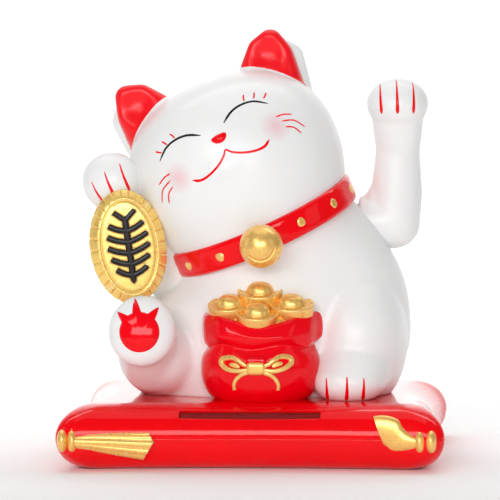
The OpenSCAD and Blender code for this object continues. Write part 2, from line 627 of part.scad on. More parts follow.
koban_t = 4.4;
koban_side = 11.4 * fig;
koban_up = 16.4 * fig;
koban_rim = 2.6;
module at_koban() translate(S([-36.6, -18.4, 43])) rotate([-3, -7.6, 12]) rotate([90, 0, 0]) children();
module koban_plan(grow) scale([koban_side + grow, koban_up + grow]) circle(1, $fn = 78);
function koban_ring(inset, z, notch) = [for (j = [0:77]) let (a = 360 * j / 78, n = j % 3 == 0 ? notch : 0)
    [(koban_side - inset - n) * cos(a), (koban_up - inset - n) * sin(a), z]];
module koban_coin() color(gold) moulded() at_koban() skin([
    koban_ring(0.6, -koban_t / 2, 0), koban_ring(0, -0.3, 0.5),
    koban_ring(koban_rim, koban_t / 2 - 0.4, 0), koban_ring(koban_rim + 0.5, koban_t / 2, 0)]);
// Raised sprig: a stem, paired leaves and a bud
sprig_t = 0.7;
module bar(a, b, w) {
    d = b - a;
    translate(a) rotate(atan2(d.y, d.x)) {
        translate([0, -w / 2]) square([norm(d), w]);
        circle(w / 2, $fn = 24);
        translate([norm(d), 0]) circle(w / 2, $fn = 24);
    }
}
module koban_relief() color("#1b1a1c") at_koban() translate([0, 0, koban_t / 2]) linear_extrude(sprig_t) union() {
    bar([0, -9.4] * fig, [0, 8.6] * fig, 1.3 * fig);
    for (y = [-6.6, -3.2, 0.2, 3.6], k = [-1, 1])
        bar([0, y] * fig, [k * (5 - 0.12 * abs(y)), y + 2.5] * fig, 1.25 * fig);
    for (k = [-1, 1]) bar([0, 7.2] * fig, [k * 2.6, 9.2] * fig, 1.1 * fig);
}

// ================= Money bag =================
bag_c = [2, -18.6];
// Rows: height, half width, half depth, how deep the folds are
bag_keys = [
    [0, 13.6, 11.4, 0], [3, 16.2, 13.2, 0], [8.4, 17.3, 14.4, 0], [13, 16.4, 13.8, 0.01],
    [16, 15.2, 12.4, 0.03], [19, 15.8, 13, 0.05], [22, 17, 13.8, 0.06], [24.2, 16.4, 13, 0.05],
];
function bag_ring(t, shrink) = let (k = spline(bag_keys, t), c = S([bag_c.x, bag_c.y, k[0]]))
    [for (j = [0:41]) let (a = 360 * j / 42, f = 1 + k[3] * sin(7 * a + 20), sag = k[3] * 14 * cos(3 * a))
        [c.x + (k[1] * fig * f - shrink) * cos(a), c.y + (k[2] * fig * f - shrink) * sin(a), c.z + sag]];
module money_bag() color(red) moulded() difference() {
    skin([for (i = [0:11]) bag_ring(i / 11, 0)]);
    translate(S([bag_c.x, bag_c.y, 26.4])) scale([14.6, 12.4, 6.4] * fig) sphere(1, $fn = 20);
    body_form(-glue_gap);
    below(deck_z);
}

// Boat-shaped gold ingot with a domed middle
module ingot() {
    n = 20;
    function row(r, z, lift) = [for (j = [0:n - 1]) let (a = 360 * j / n)
        [7.4 * r * cos(a), 5.2 * r * sin(a), z + lift * pow(cos(a), 2)]];
    scale(fig) {
        skin([row(0.62, -3.4, 0), row(0.82, -2.2, 0.3), row(0.97, 0, 1.5), row(1, 0.9, 2), row(0.9, 1, 2), row(0.72, 0.1, 0.6)]);
        translate([0, 0, 0.6]) scale([3.7, 3.5, 3.7]) sphere(1, $fn = 14);
    }
}
ingot_places = [[1.8, -21.2, 29.4, 0], [-7.2, -23.4, 25.6, -8], [11.4, -23.4, 25.4, 8], [2, -28, 23.2, 0]];
module bag_hollow() difference() {
    skin([for (i = [0:11]) bag_ring(i / 11, -glue_gap)]);
    translate(S([bag_c.x, bag_c.y, 26.4])) scale([14.6, 12.4, 6.4] * fig - [1, 1, 1] * glue_gap) sphere(1, $fn = 16);
}
module gold_ingots() color(gold) moulded() difference() {
    union() {
        for (p = ingot_places) translate(S([p[0], p[1], p[2]])) rotate([18, p[3], 0]) ingot();
        // Heap that fills the bag's mouth under the ingots
        intersection() {
            translate(S([bag_c.x, bag_c.y, 26.4])) scale([14.6, 12.4, 6.4] * fig - [1, 1, 1] * glue_gap) sphere(1, $fn = 16);
            below(deck_z + 26.6 * fig);
        }
    }
    bag_hollow();
    body_form(-glue_gap);
}

bow_c = [1.6, 10];
bow_r = 1.05;
function bow_point(x, z, out) = let (k = (x - bag_c.x) / 17.6)
    S([x, bag_c.y - 14.4 * sqrt(max(0, 1 - k * k)) - out, z]);
module bow_loop(side) cord(curve([for (p = [[1.4, 0.4, 0.9], [4.6, 2.6, 1.2], [8.6, 3.4, 1], [10, 1, 0.8], [7.8, -1.4, 0.8],
    [4.4, -1, 1], [1.4, -0.4, 0.9]]) bow_point(bow_c.x + side * p[0], bow_c.y + p[1], p[2])], 15), bow_r, 8, [0, 1, 0.01]);
module bow_tail(side) cord(curve([for (p = [[1, -1, 0.8], [3.4, -2.6, 0.7], [5.2, -4.6, 0.5], [5.4, -6.6, 0.2]])
    bow_point(bow_c.x + side * p[0], bow_c.y + p[1], p[2])], 7), bow_r * 0.9, 8, [0, 1, 0.01]);
module bag_bow() color(gold) moulded() difference() {
    union() {
        for (side = [-1, 1]) {
            bow_loop(side);
            bow_tail(side);
        }
        translate(bow_point(bow_c.x, bow_c.y, 0.9)) scale([2.9, 1.6, 2.1] * fig) sphere(1, $fn = 16);
    }
    skin([for (i = [0:11]) bag_ring(i / 11, -glue_gap)]);
}

base_top_shell();
base_bottom_shell();
base_screws();
tassel_front_left();
tassel_front_right();
tassel_back_left();
tassel_back_right();
solar_cover();
solar_cell();
cell_leads();
circuit_board();
board_screws();
storage_capacitor();
driver_chip();
coil_leads();
pivot_frame();
frame_screws();
coil_bobbin();
coil_winding();
pivot_pin();
arm_hub();
swing_lever();
counterweight();
magnet();
pin_clip();
arm_shell_front();
arm_shell_back();
body_shell_front();
body_shell_back();
head_shell_front();
head_shell_back();
coin_arm_front();
coin_arm_back();
koban_coin();
koban_relief();
collar();
collar_studs();
collar_bell();
money_bag();
gold_ingots();
bag_bow();
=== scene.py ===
"""Looks of the solar beckoning cat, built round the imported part.

Lengths are in millimetres until Form.object and reshape turn them to metres. Lights and camera are in metres.
"""

import math
import random

import bmesh
import bpy
from mathutils import Matrix, Quaternion, Vector
from mathutils.bvhtree import BVHTree


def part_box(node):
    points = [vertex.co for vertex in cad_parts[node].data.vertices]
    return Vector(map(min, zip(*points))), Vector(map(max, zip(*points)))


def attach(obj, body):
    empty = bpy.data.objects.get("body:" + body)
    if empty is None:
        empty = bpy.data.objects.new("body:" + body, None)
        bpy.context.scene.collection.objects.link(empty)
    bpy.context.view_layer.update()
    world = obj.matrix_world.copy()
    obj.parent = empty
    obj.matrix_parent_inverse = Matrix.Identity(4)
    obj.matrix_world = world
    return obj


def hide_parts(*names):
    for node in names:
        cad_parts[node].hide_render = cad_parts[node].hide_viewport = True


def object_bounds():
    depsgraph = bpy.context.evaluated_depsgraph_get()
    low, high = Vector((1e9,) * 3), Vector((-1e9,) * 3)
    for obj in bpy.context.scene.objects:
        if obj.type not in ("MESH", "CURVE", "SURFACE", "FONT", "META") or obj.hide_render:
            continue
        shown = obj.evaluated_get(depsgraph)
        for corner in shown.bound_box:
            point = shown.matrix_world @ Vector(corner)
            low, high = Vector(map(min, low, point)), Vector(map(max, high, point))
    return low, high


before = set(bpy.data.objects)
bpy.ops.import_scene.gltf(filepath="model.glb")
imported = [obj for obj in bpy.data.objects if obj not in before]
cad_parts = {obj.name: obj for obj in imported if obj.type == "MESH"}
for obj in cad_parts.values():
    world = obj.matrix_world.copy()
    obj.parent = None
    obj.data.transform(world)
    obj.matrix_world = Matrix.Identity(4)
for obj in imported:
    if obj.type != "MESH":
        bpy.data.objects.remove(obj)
cad_low, cad_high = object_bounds()
random.seed(7)

DECK = 18.3                      # top of the cushion
NECK = Vector((1, 3, 67.5))      # where head and body meet, under the collar
NECK_PITCH, NECK_ROLL = 5.2, 23.2    # how the neck's plane leans, in degrees
HEAD_ROLL = 21                   # how the head leans, in degrees
PIVOT_Y, PIVOT_Z = 10, 67.5      # axis that the waving arm turns on, along X
BODY, ARM = "body", "arm"
TO_M, TO_MM = 0.001, 1000


# ---------------------------------------------------------------- small helpers
def turned(v, x=0, y=0, z=0):
    """v turned about X, then Y, then Z, in degrees."""
    return (Matrix.Rotation(math.radians(z), 3, "Z") @ Matrix.Rotation(math.radians(y), 3, "Y")
            @ Matrix.Rotation(math.radians(x), 3, "X") @ Vector(v))


def neck_turned(v):
    return turned(v, x=NECK_PITCH, y=-NECK_ROLL)


def on_neck(v):
    return NECK + neck_turned(v)


NECK_UP = neck_turned((0, 0, 1))
HEAD = on_neck((0, 0, 18))       # middle of the head


def on_head(v):
    return HEAD + turned(v, y=-HEAD_ROLL)


def head_local(p):
    return turned(Vector(p) - HEAD, y=HEAD_ROLL)


def at_deck(x, y, z):
    return Vector((x, y, DECK + z))


def clamp(v, low=0.0, high=1.0):
    return max(low, min(high, v))


def smooth_step(low, high, v):
    t = clamp((v - low) / (high - low))
    return t * t * (3 - 2 * t)


def bent(v, power):
    """v raised to a power with its sign kept, which squares off a circle's sine or cosine."""
    return math.copysign(abs(v) ** power, v)


def angles(count):
    """Evenly spaced angles round a full turn."""
    return [2 * math.pi * j / count for j in range(count)]


def degrees_apart(a, b):
    """Signed turn from b to a, between -180 and 180."""
    return (a - b + 180) % 360 - 180


def bell_curve(x, width):
    return math.exp(-(x / width) ** 2)


def spline(keys, t):
    """Smooth curve through rows of evenly spaced keys."""
    n = len(keys) - 1
    u = min(max(t, 0), 0.99999) * n
    i = int(u)
    f = u - i
    p0, p1, p2, p3 = (keys[max(i - 1, 0)], keys[i], keys[i + 1], keys[min(i + 2, n)])
    return [b + f * ((c - a) / 2 + f * ((a - 2.5 * b + 2 * c - d / 2) + f * ((d - a) / 2 + 1.5 * (b - c))))
            for a, b, c, d in zip(p0, p1, p2, p3)]


class Form:
    """Points and faces in millimetres, gathered before they become an object."""

    def __init__(self):
        self.points = []
        self.faces = []

    def add(self, points, faces):
        base = len(self.points)
        self.points += [Vector(p) for p in points]
        self.faces += [[base + i for i in f] for f in faces]

    def loft(self, rings, closed=False):
        """Skin through rings of equal length, capped unless closed joins the last ring to the first."""
        n, m = len(rings[0]), len(rings)
        points = [p for r in rings for p in r]
        faces = []
        for i in range(m if closed else m - 1):
            a, b = i * n, ((i + 1) % m) * n
            for j in range(n):
                k = (j + 1) % n
                faces.append([a + j, a + k, b + k, b + j])
        if not closed:
            for r, flip in ((0, True), (m - 1, False)):
                middle = sum(rings[r], Vector()) / n
                points.append(middle)
                c = len(points) - 1
                for j in range(n):
                    k = (j + 1) % n
                    faces.append([c, r * n + k, r * n + j] if flip else [c, r * n + j, r * n + k])
        self.add(points, faces)

    def egg(self, centre, radii, turn=(0, 0, 0), around=48, up=24):
        rings = []
        for i in range(1, up):
            v = math.pi * i / up - math.pi / 2
            wide, high = math.cos(v), math.sin(v)
            rings.append([Vector(centre) + turned((radii[0] * wide * math.cos(a), radii[1] * wide * math.sin(a),
                                                   radii[2] * high), *turn) for a in angles(around)])
        n = around
        points = [p for r in rings for p in r]
        faces = [[i * n + j, i * n + (j + 1) % n, (i + 1) * n + (j + 1) % n, (i + 1) * n + j]
                 for i in range(len(rings) - 1) for j in range(n)]
        low = len(points)
        points += [Vector(centre) + turned((0, 0, z), *turn) for z in (-radii[2], radii[2])]
        top = (len(rings) - 1) * n
        faces += [[low, (j + 1) % n, j] for j in range(n)]
        faces += [[low + 1, top + j, top + (j + 1) % n] for j in range(n)]
        self.add(points, faces)

    def hull(self, *eggs):
        """Convex hull of several eggs given as (centre, radii, turn)."""
        part = Form()
        for e in eggs:
            part.egg(*e)
        bm = bmesh.new()
        for p in part.points:
            bm.verts.new(p)
        found = bmesh.ops.convex_hull(bm, input=bm.verts)
        loose = [g for g in found["geom_interior"] + found["geom_unused"]
                 if isinstance(g, bmesh.types.BMVert)]
        bmesh.ops.delete(bm, geom=list(set(loose)), context="VERTS")
        bm.verts.index_update()
        self.add([v.co.copy() for v in bm.verts], [[v.index for v in f.verts] for f in bm.faces])
        bm.free()

    def object(self, name):
        """The form as a smooth-shaded object in metres."""
        mesh = bpy.data.meshes.new(name)
        mesh.from_pydata([p * TO_M for p in self.points], [], self.faces)
        mesh.validate()
        bm = bmesh.new()
        bm.from_mesh(mesh)
        bmesh.ops.recalc_face_normals(bm, faces=bm.faces)
        bm.to_mesh(mesh)
        bm.free()
        obj = bpy.data.objects.new(name, mesh)
        bpy.context.collection.objects.link(obj)
        mesh.polygons.foreach_set("use_smooth", [True] * len(mesh.polygons))
        return obj


def apply_modifiers(obj):
    """Bakes an object's modifiers into its mesh."""
    bpy.context.view_layer.update()
    graph = bpy.context.evaluated_depsgraph_get()
    mesh = bpy.data.meshes.new_from_object(obj.evaluated_get(graph))
    mesh.name = obj.name
    old = obj.data
    obj.modifiers.clear()
    obj.data = mesh
    bpy.data.meshes.remove(old)
    mesh.polygons.foreach_set("use_smooth", [True] * len(mesh.polygons))


def fused(name, form, voxel, rounds):
    """One smooth skin over every piece of a form."""
    obj = form.object(name)
    remesh = obj.modifiers.new("fuse", "REMESH")
    remesh.mode = "VOXEL"
    remesh.voxel_size = voxel * TO_M
    soft = obj.modifiers.new("soft", "SMOOTH")
    soft.factor = 0.5
    soft.iterations = rounds
    apply_modifiers(obj)
    return obj


def cut(obj, tool):
    """Takes the tool's shape out of an object and removes the tool."""
    mod = obj.modifiers.new("cut", "BOOLEAN")
    mod.operation = "DIFFERENCE"
    mod.solver = "EXACT"
    mod.object = tool
    apply_modifiers(obj)
    bpy.data.objects.remove(tool)


def reshape(obj, move):
    """Moves every point of an object by a rule given in millimetres."""
    for v in obj.data.vertices:
        v.co = move(v.co * TO_MM) * TO_M
    obj.data.update()


def shown(obj, body, slot_name, *nodes):
    """Puts a piece on its body, in place of the frame's own nodes; slot_name is not used."""
    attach(obj, body)
    if nodes:
        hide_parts(*nodes)
    return obj


def wear(obj, look):
    """Gives an object one material."""
    obj.data.materials.clear()
    obj.data.materials.append(look.material)


def finished(name, form, look, slot_name, *nodes, body=BODY):
    """A form made into a piece, with its material and body."""
    piece = form.object(name)
    wear(piece, look)
    shown(piece, body, slot_name, *nodes)


# ---------------------------------------------------------------- materials
class Look:
    """A node material with the few parts that every finish here shares."""

    def __init__(self, name):
        self.material = bpy.data.materials.new(name)
        self.material.use_nodes = True
        self.nodes = self.material.node_tree.nodes
        self.links = self.material.node_tree.links
        self.shader = self.nodes["Principled BSDF"]
        self.place = self.nodes.new("ShaderNodeTexCoord").outputs["Object"]

    def set(self, **values):
        for key, value in values.items():
            self.shader.inputs[key.replace("_", " ")].default_value = value

    def noise(self, scale, detail=4, rough=0.55):
        n = self.nodes.new("ShaderNodeTexNoise")
        n.inputs["Scale"].default_value = scale
        n.inputs["Detail"].default_value = detail
        n.inputs["Roughness"].default_value = rough
        self.links.new(self.place, n.inputs["Vector"])
        return n.outputs["Fac"]

    def span(self, value, low, high, to_low, to_high):
        n = self.nodes.new("ShaderNodeMapRange")
        n.clamp = True
        for key, v in (("From Min", low), ("From Max", high), ("To Min", to_low), ("To Max", to_high)):
            n.inputs[key].default_value = v
        self.links.new(value, n.inputs["Value"])
        return n.outputs["Result"]

    def mix(self, share, a, b):
        n = self.nodes.new("ShaderNodeMix")
        n.data_type = "RGBA"
        for key, v in ((6, a), (7, b)):
            if isinstance(v, tuple):
                n.inputs[key].default_value = (*v, 1)
            else:
                self.links.new(v, n.inputs[key])
        self.links.new(share, n.inputs[0])
        return n.outputs[2]

    def near(self, centre, inner, outer):
        """1 inside a ball round centre (in metres), fading to 0 at its outer radius."""
        n = self.nodes.new("ShaderNodeVectorMath")
        n.operation = "DISTANCE"
        n.inputs[1].default_value = centre
        self.links.new(self.place, n.inputs[0])
        return self.span(n.outputs["Value"], inner, outer, 1, 0)

    def mask(self, name):
        n = self.nodes.new("ShaderNodeAttribute")
        n.attribute_name = name
        return n.outputs["Fac"]

    def curved(self, low, high, to_low, to_high):
        """A share that follows how far the surface bends out (above 0.5) or in (below it)."""
        n = self.nodes.new("ShaderNodeNewGeometry")
        return self.span(n.outputs["Pointiness"], low, high, to_low, to_high)

    def colour(self, value):
        self.base = value
        self.links.new(value, self.shader.inputs["Base Color"])

    def roughness(self, value):
        self.links.new(value, self.shader.inputs["Roughness"])

    def bump(self, height, depth, strength):
        n = self.nodes.new("ShaderNodeBump")
        n.inputs["Distance"].default_value = depth
        n.inputs["Strength"].default_value = strength
        self.links.new(height, n.inputs["Height"])
        self.links.new(n.outputs["Normal"], self.shader.inputs["Normal"])


def lacquer(name, bright=(0.93, 0.0, 0.004), deep=(0.84, 0.0, 0.004)):
    """Thick glossy red paint over moulded plastic."""
    look = Look(name)
    look.colour(look.mix(look.span(look.noise(60), 0.35, 0.7, 0, 1), bright, deep))
    look.roughness(look.span(look.noise(700, 3), 0.3, 0.7, 0.16, 0.24))
    look.set(Coat_Weight=1.0, Coat_Roughness=0.03, Coat_IOR=1.3, Specular_IOR_Level=0.05)
    look.bump(look.noise(90, 2), 0.00012, 0.5)
    return look


def gilt(name, pale=(1.0, 0.62, 0.17), deep=(0.68, 0.26, 0.03)):
    """Satin gold paint: metallic flake, with painted shade in the creases and a painted highlight on the edges.
    """
    look = Look(name)
    body = look.mix(look.span(look.noise(160, 2), 0.35, 0.8, 0, 0.3), pale, deep)
    # Painted shade: hollow, inward-bending places take the deep gold
    shaded = look.mix(look.curved(0.42, 0.49, 1, 0), body, deep)
    # Painted highlight: outward-bending edges take a pale gold
    look.colour(look.mix(look.curved(0.52, 0.6, 0, 1), shaded, (1.0, 0.78, 0.36)))
    look.roughness(look.span(look.noise(900, 4), 0.3, 0.7, 0.24, 0.40))
    look.set(Metallic=0.6, Coat_Weight=0.3, Coat_Roughness=0.1)
    look.bump(look.noise(500, 1), 0.00001, 0.3)
    return look


def glaze(name):
    """White moulded plastic with a soft gloss."""
    look = Look(name)
    tint = (0.875, 0.875, 0.87)
    look.colour(look.mix(look.span(look.noise(35, 3), 0.3, 0.75, 0, 1), tint, tuple(0.975 * c for c in tint)))
    look.roughness(look.span(look.noise(420, 4), 0.3, 0.7, 0.30, 0.38))
    look.set(Coat_Weight=0.12, Coat_Roughness=0.2, Specular_IOR_Level=0.35)
    look.set(Subsurface_Weight=0.08, Subsurface_Scale=0.003)
    look.bump(look.noise(500, 2), 0.00002, 0.4)
    return look


def plain(name, a, b, scale=200, low=0.3, high=0.45, metallic=0.0, depth=0.00003):
    """Two close tones of one stuff, with a fine grain."""
    look = Look(name)
    look.colour(look.mix(look.span(look.noise(scale, 4), 0.35, 0.7, 0, 1), a, b))
    look.roughness(look.span(look.noise(scale * 3, 3), 0.3, 0.7, low, high))
    look.set(Metallic=metallic)
    look.bump(look.noise(scale * 4, 3), depth, 0.5)
    return look


red = lacquer("red_lacquer")
bag_red = lacquer("bag_lacquer", (0.90, 0.0, 0.008), (0.80, 0.0, 0.006))
paint_red = lacquer("paint_red", (0.93, 0.0, 0.007), (0.85, 0.0, 0.005))
gold = gilt("gold_paint")
coin_gold = gilt("coin_gold", (1.0, 0.70, 0.20), (0.85, 0.46, 0.07))
white = glaze("white_gloss")
black = plain("black_enamel", (0.008, 0.007, 0.008), (0.016, 0.014, 0.015), 300, 0.2, 0.3)
black.set(Specular_IOR_Level=0.3)


# ---------------------------------------------------------------- head
SKULL_W, SKULL_D, SKULL_UP, SKULL_DOWN, SKULL_TAPER = 31.6, 28.5, 27.4, 33, 46.7


def skull_ring(v):
    """The skull's outline at latitude v: squarish above its widest level, long below it."""
    s, c = math.sin(math.radians(v)), max(math.cos(math.radians(v)), 0.0)
    if v >= 0:
        z = SKULL_UP * s ** 0.87
        w, d = SKULL_W * c ** 0.87, SKULL_D * c ** 0.87
    else:
        z = SKULL_DOWN * s
        w = SKULL_W * c
        d = SKULL_D * math.sqrt(max(0.02, 1 - (z / SKULL_TAPER) ** 2))
    return [on_head((w * math.cos(a), d * math.sin(a), z)) for a in angles(96)]


# Round lumps whose hull is an ear, in the head's own frame: x, y, z, radii
EAR_FRONT = ((18.3, 1, 17, (9.0, 6.4, 9)), (14.4, 0.4, 25.6, (3.2, 3.6, 3.2)),
             (18.6, 0, 29.8, (3.5, 3.2, 3.7)), (22.6, -0.2, 31.0, (3.7, 3.2, 3.7)),
             (23.7, 0, 26.0, (3.8, 3.6, 4.6)), (24.0, 0.4, 19, (2.4, 4, 4)))
EAR_BACK = ((22.6, 4.6, 15.5, (6.6, 4.6, 6)), (25.9, 4.4, 24.6, (4.3, 2.9, 4.6)),
            (23.6, 2.4, 28.6, (3.4, 2.8, 3.6)))
EAR_DISH = Vector((20.6, 27.2))    # middle of the hollow in an ear's front, x and z


def make_head():
    form = Form()
    form.loft([skull_ring(v) for v in (-46, -42, *range(-36, 61, 6), 65, 70, 74, 78, 81, 84, 87, 89.5)])
    for side in (-1, 1):
        for lumps in (EAR_FRONT, EAR_BACK):
            form.hull(*[(on_head((side * x, y, z)), radii) for x, y, z, radii in lumps])
    form.egg(on_head((-1, -21.5, 1)), (13, 7.4, 9), (0, -HEAD_ROLL, 0))
    head = fused("head", form, 0.55, 9)

    def move(p):
        q = head_local(p)
        # Dished front of each ear
        if q.z > 17 and q.y < 2.5 and abs(q.x) > 9:
            off = Vector((abs(q.x), q.z)) - EAR_DISH
            fall = smooth_step(1, 0.1, math.hypot(off.x / 6.4, off.y / 6.8))
            p = p + Vector((0, 2.2 * fall * smooth_step(2.5, -1.5, q.y), 0))
        # Flat at the neck joint
        z = (p - NECK).dot(NECK_UP)
        if z < 0:
            p = p - NECK_UP * z
        return p

    reshape(head, move)

    # Where the ears' fronts are painted
    paint = head.data.attributes.new("ear_paint", "FLOAT", "POINT")
    values = []
    for v in head.data.vertices:
        q = head_local(v.co * TO_MM)
        value = 0.0
        if q.z > 15 and abs(q.x) > 8:
            crown = 27.2 * max(0.0, 1 - (abs(q.x) / SKULL_W) ** 2.3) ** 0.435
            rise = q.z - crown - 0.5 + 0.1 * max(0.0, abs(q.x) - 15)
            ahead = smooth_step(1.6, 0.2, q.y) * smooth_step(0.55, 0.1, v.normal.y)
            value = smooth_step(0.2, 1.0, rise) * ahead
        values.append(value)
    paint.data.foreach_set("value", values)
    return shown(head, BODY, "white_gloss", "head_shell_front", "head_shell_back")


head = make_head()


class Surface:
    """Finds where a ray from the front meets an object."""

    def __init__(self, *objects):
        self.trees = []
        for o in objects:
            points = [v.co * TO_MM for v in o.data.vertices]
            self.trees.append(BVHTree.FromPolygons(points, [list(f.vertices) for f in o.data.polygons]))

    def hit(self, p, direction):
        best = None
        for tree in self.trees:
            place, normal, index, distance = tree.ray_cast(p, direction)
            if place is not None and (best is None or distance < best[2]):
                best = (place, normal, distance)
        if best is None:
            best = min((tree.find_nearest(p + direction * 60) for tree in self.trees), key=lambda hit: hit[3])
        place, normal = best[0], best[1].normalized()
        if normal.dot(direction) > 0:
            normal = -normal
        return place, normal


# The direction that the paint is laid on from
LOOK_AZ, LOOK_EL = math.radians(4.07), math.radians(2.4)
FRONT = Vector((-math.sin(LOOK_AZ) * math.cos(LOOK_EL), math.cos(LOOK_AZ) * math.cos(LOOK_EL),
                -math.sin(LOOK_EL)))


class Sheet:
    """A flat drawing frame in front of a surface, rolled about the line of sight."""

    def __init__(self, surface, origin, roll, direction=FRONT):
        self.surface = surface
        self.origin = Vector(origin)
        self.direction = Vector(direction).normalized()
        across = Vector((self.direction.y, -self.direction.x, 0)).normalized()
        up = across.cross(self.direction)
        a = math.radians(roll)
        self.u = math.cos(a) * across + math.sin(a) * up
        self.v = -math.sin(a) * across + math.cos(a) * up

    def place(self, x, y):
        start = self.origin + self.u * x + self.v * y - self.direction * 40
        return self.surface.hit(start, self.direction)

    def stroke(self, form, keys, width, steps, lift=0.05, taper=(0.15, 0.15)):
        """A painted line through keys; width in mm, narrowed over a share of its length at each end."""
        path = [spline(keys, i / steps) for i in range(steps + 1)]
        rings = []
        for i, (x, y) in enumerate(path):
            place, normal = self.place(x, y)
            ahead, _ = self.place(*path[min(i + 1, steps)])
            back, _ = self.place(*path[max(i - 1, 0)])
            t = (ahead - back).normalized()
            side = normal.cross(t).normalized()
            f = i / steps
            w = width(f) if callable(width) else width
            w *= min(1, 0.25 + 0.75 * f / taper[0], 0.25 + 0.75 * (1 - f) / taper[1]) / 2
            rings.append([place - side * w - normal * 0.12, place - side * w * 0.8 + normal * lift * 0.6,
                          place + normal * lift, place + side * w * 0.8 + normal * lift * 0.6,
                          place + side * w - normal * 0.12])
        form.loft(rings)

    def patch(self, form, outline, steps, lift, dome):
        """A painted area inside a star-shaped outline round 0, 0, with a thin edge."""
        rings = []
        for share, rise in [(1.01, -0.15)] + [(i / steps, lift + dome * (1 - (i / steps) ** 2))
                                              for i in range(steps, 0, -1)]:
            ring = []
            for x, y in outline:
                place, normal = self.place(x * share, y * share)
                ring.append(place + normal * rise)
            rings.append(ring)
        form.loft(rings)


# Face, drawn round the nose in a frame that leans with the head
face = Sheet(Surface(head), (-9.1, -25, 93.3), 27.7)
eyes, mouth, lashes, whiskers = Form(), Form(), Form(), Form()
for side in (-1, 1):
    face.stroke(eyes, [(side * 3.7 - 0.6, 3.2), (side * 7.1 - 0.6, 5.1), (side * 10.6 - 0.6, 5.6),
                       (side * 14.2 - 0.6, 4.8), (side * 17.6 - 0.6, 2.3)], 0.86, 26)
    face.stroke(mouth, [(side * 0.05, -3.6), (side * 1.4, -5.2), (side * 4.2, -6.9), (side * 7.6, -8.0),
                        (side * 10.4, -8.1), (side * 12.4, -7.0)],
                lambda f: 0.62 + 0.4 * f, 26, taper=(0.02, 0.12))
    for keys in (((12.0, 7.9), (11.5, 7.0), (11.3, 6.1)), ((15.0, 7.1), (14.6, 6.3), (14.0, 5.5)),
                 ((18.0, 5.4), (17.4, 4.8), (16.5, 4.2))):
        face.stroke(lashes, [(side * x, y) for x, y in keys], 0.6, 8)
    for keys in (((17.1, -2.2), (19.4, -2.5), (21.6, -3.6)), ((18.0, -4.0), (21.3, -5.4), (23.3, -8.6)),
                 ((18.2, -5.9), (20.3, -7.2), (21.5, -9.7))):
        face.stroke(whiskers, [(side * x, y) for x, y in keys], 0.55, 12)
for form, name, look in ((eyes, "eye_lines", black), (mouth, "mouth_line", paint_red),
                         (lashes, "lash_lines", paint_red), (whiskers, "whisker_lines", paint_red)):
    finished(name, form, look, "black_enamel" if look is black else "red_lacquer")

nose = Form()
face.patch(nose, [(2.35 * bent(math.cos(a), 0.9) * (1 + 0.16 * math.sin(a)),
                   (0.95 if math.sin(a) > 0 else 1.6) * math.sin(a) + 0.2) for a in angles(48)], 7, 0.06, 0.55)
finished("nose", nose, paint_red, "red_lacquer")

skin = glaze("head_white")
skin_colour = skin.base
for side in (-1, 1):
    centre, _ = face.place(side * 15.8, -4.5)
    blush = skin.span(skin.near(centre * TO_M, 0.0004, 0.0050), 0, 1, 0, 0.5)
    skin_colour = skin.mix(blush, skin_colour, (0.86, 0.34, 0.40))
ears = skin.span(skin.mask("ear_paint"), 0.38, 0.62, 0, 1)
skin_colour = skin.mix(ears, skin_colour, (0.93, 0.0, 0.007))
skin.colour(skin_colour)
wear(head, skin)


# ---------------------------------------------------------------- body
# Rows up the torso: middle x, y, height over the deck, half width, half depth, share of the neck's lean
TORSO = [(1.4, 4.5, -2, 34.8, 24, 0), (1.4, 4.5, 9, 41.6, 26, 0), (1.6, 4.5, 19, 43.2, 26.2, 0),
         (2.4, 4.4, 28.5, 40.8, 25.8, 0.25), (2.9, 4, 36.5, 35, 25, 0.6), (2.2, 3.4, 43.5, 29.4, 25, 0.9),
         (1, 3, 49.2, 26.6, 26.6, 1)]


def torso_ring(t):
    x, y, z, w, d, k = spline(TORSO, t)
    return [at_deck(x, y, z) + turned((w * math.cos(a), d * math.sin(a), 0), x=NECK_PITCH * k, y=-NECK_ROLL * k)
            for a in angles(96)]


def make_body():
    form = Form()
    form.loft([torso_ring(i / 30) for i in range(31)])
    # Raised leg, standing leg, then the raised foot's sole
    form.egg(at_deck(-27, -4, 12), (14, 20, 13.5))
    form.hull((at_deck(-30, -14, 10.5), (9, 9, 9.6)), (at_deck(-31.2, -26, 18.6), (8.6, 6, 8.8)))
    form.egg(at_deck(29.2, -3, 15.5), (14.8, 20, 21))
    form.hull((at_deck(28.4, -9, 10), (12.6, 12.6, 12.4)), (at_deck(27.4, -20.4, 4.8), (10.4, 9.9, 6.6)))
    form.egg(at_deck(-31.2, -28.6, 20.2), (9.9, 5.4, 10.4), (-12, 0, 0))
    body = fused("body", form, 0.75, 14)

    def move(p):
        # Flat on the deck, and waisted where the collar sits
        if p.z < DECK:
            p.z = DECK
        q = turned(turned(p - NECK, y=NECK_ROLL), x=-NECK_PITCH)
        reach = math.hypot(q.x, q.y)
        if q.z > -3.4 and 26 < reach < 33:
            q.x, q.y = q.x * 26 / reach, q.y * 26 / reach
            p = on_neck(q)
        return p

    reshape(body, move)
    return shown(body, BODY, "white_gloss", "body_shell_front", "body_shell_back")


body = make_body()
wear(body, white)


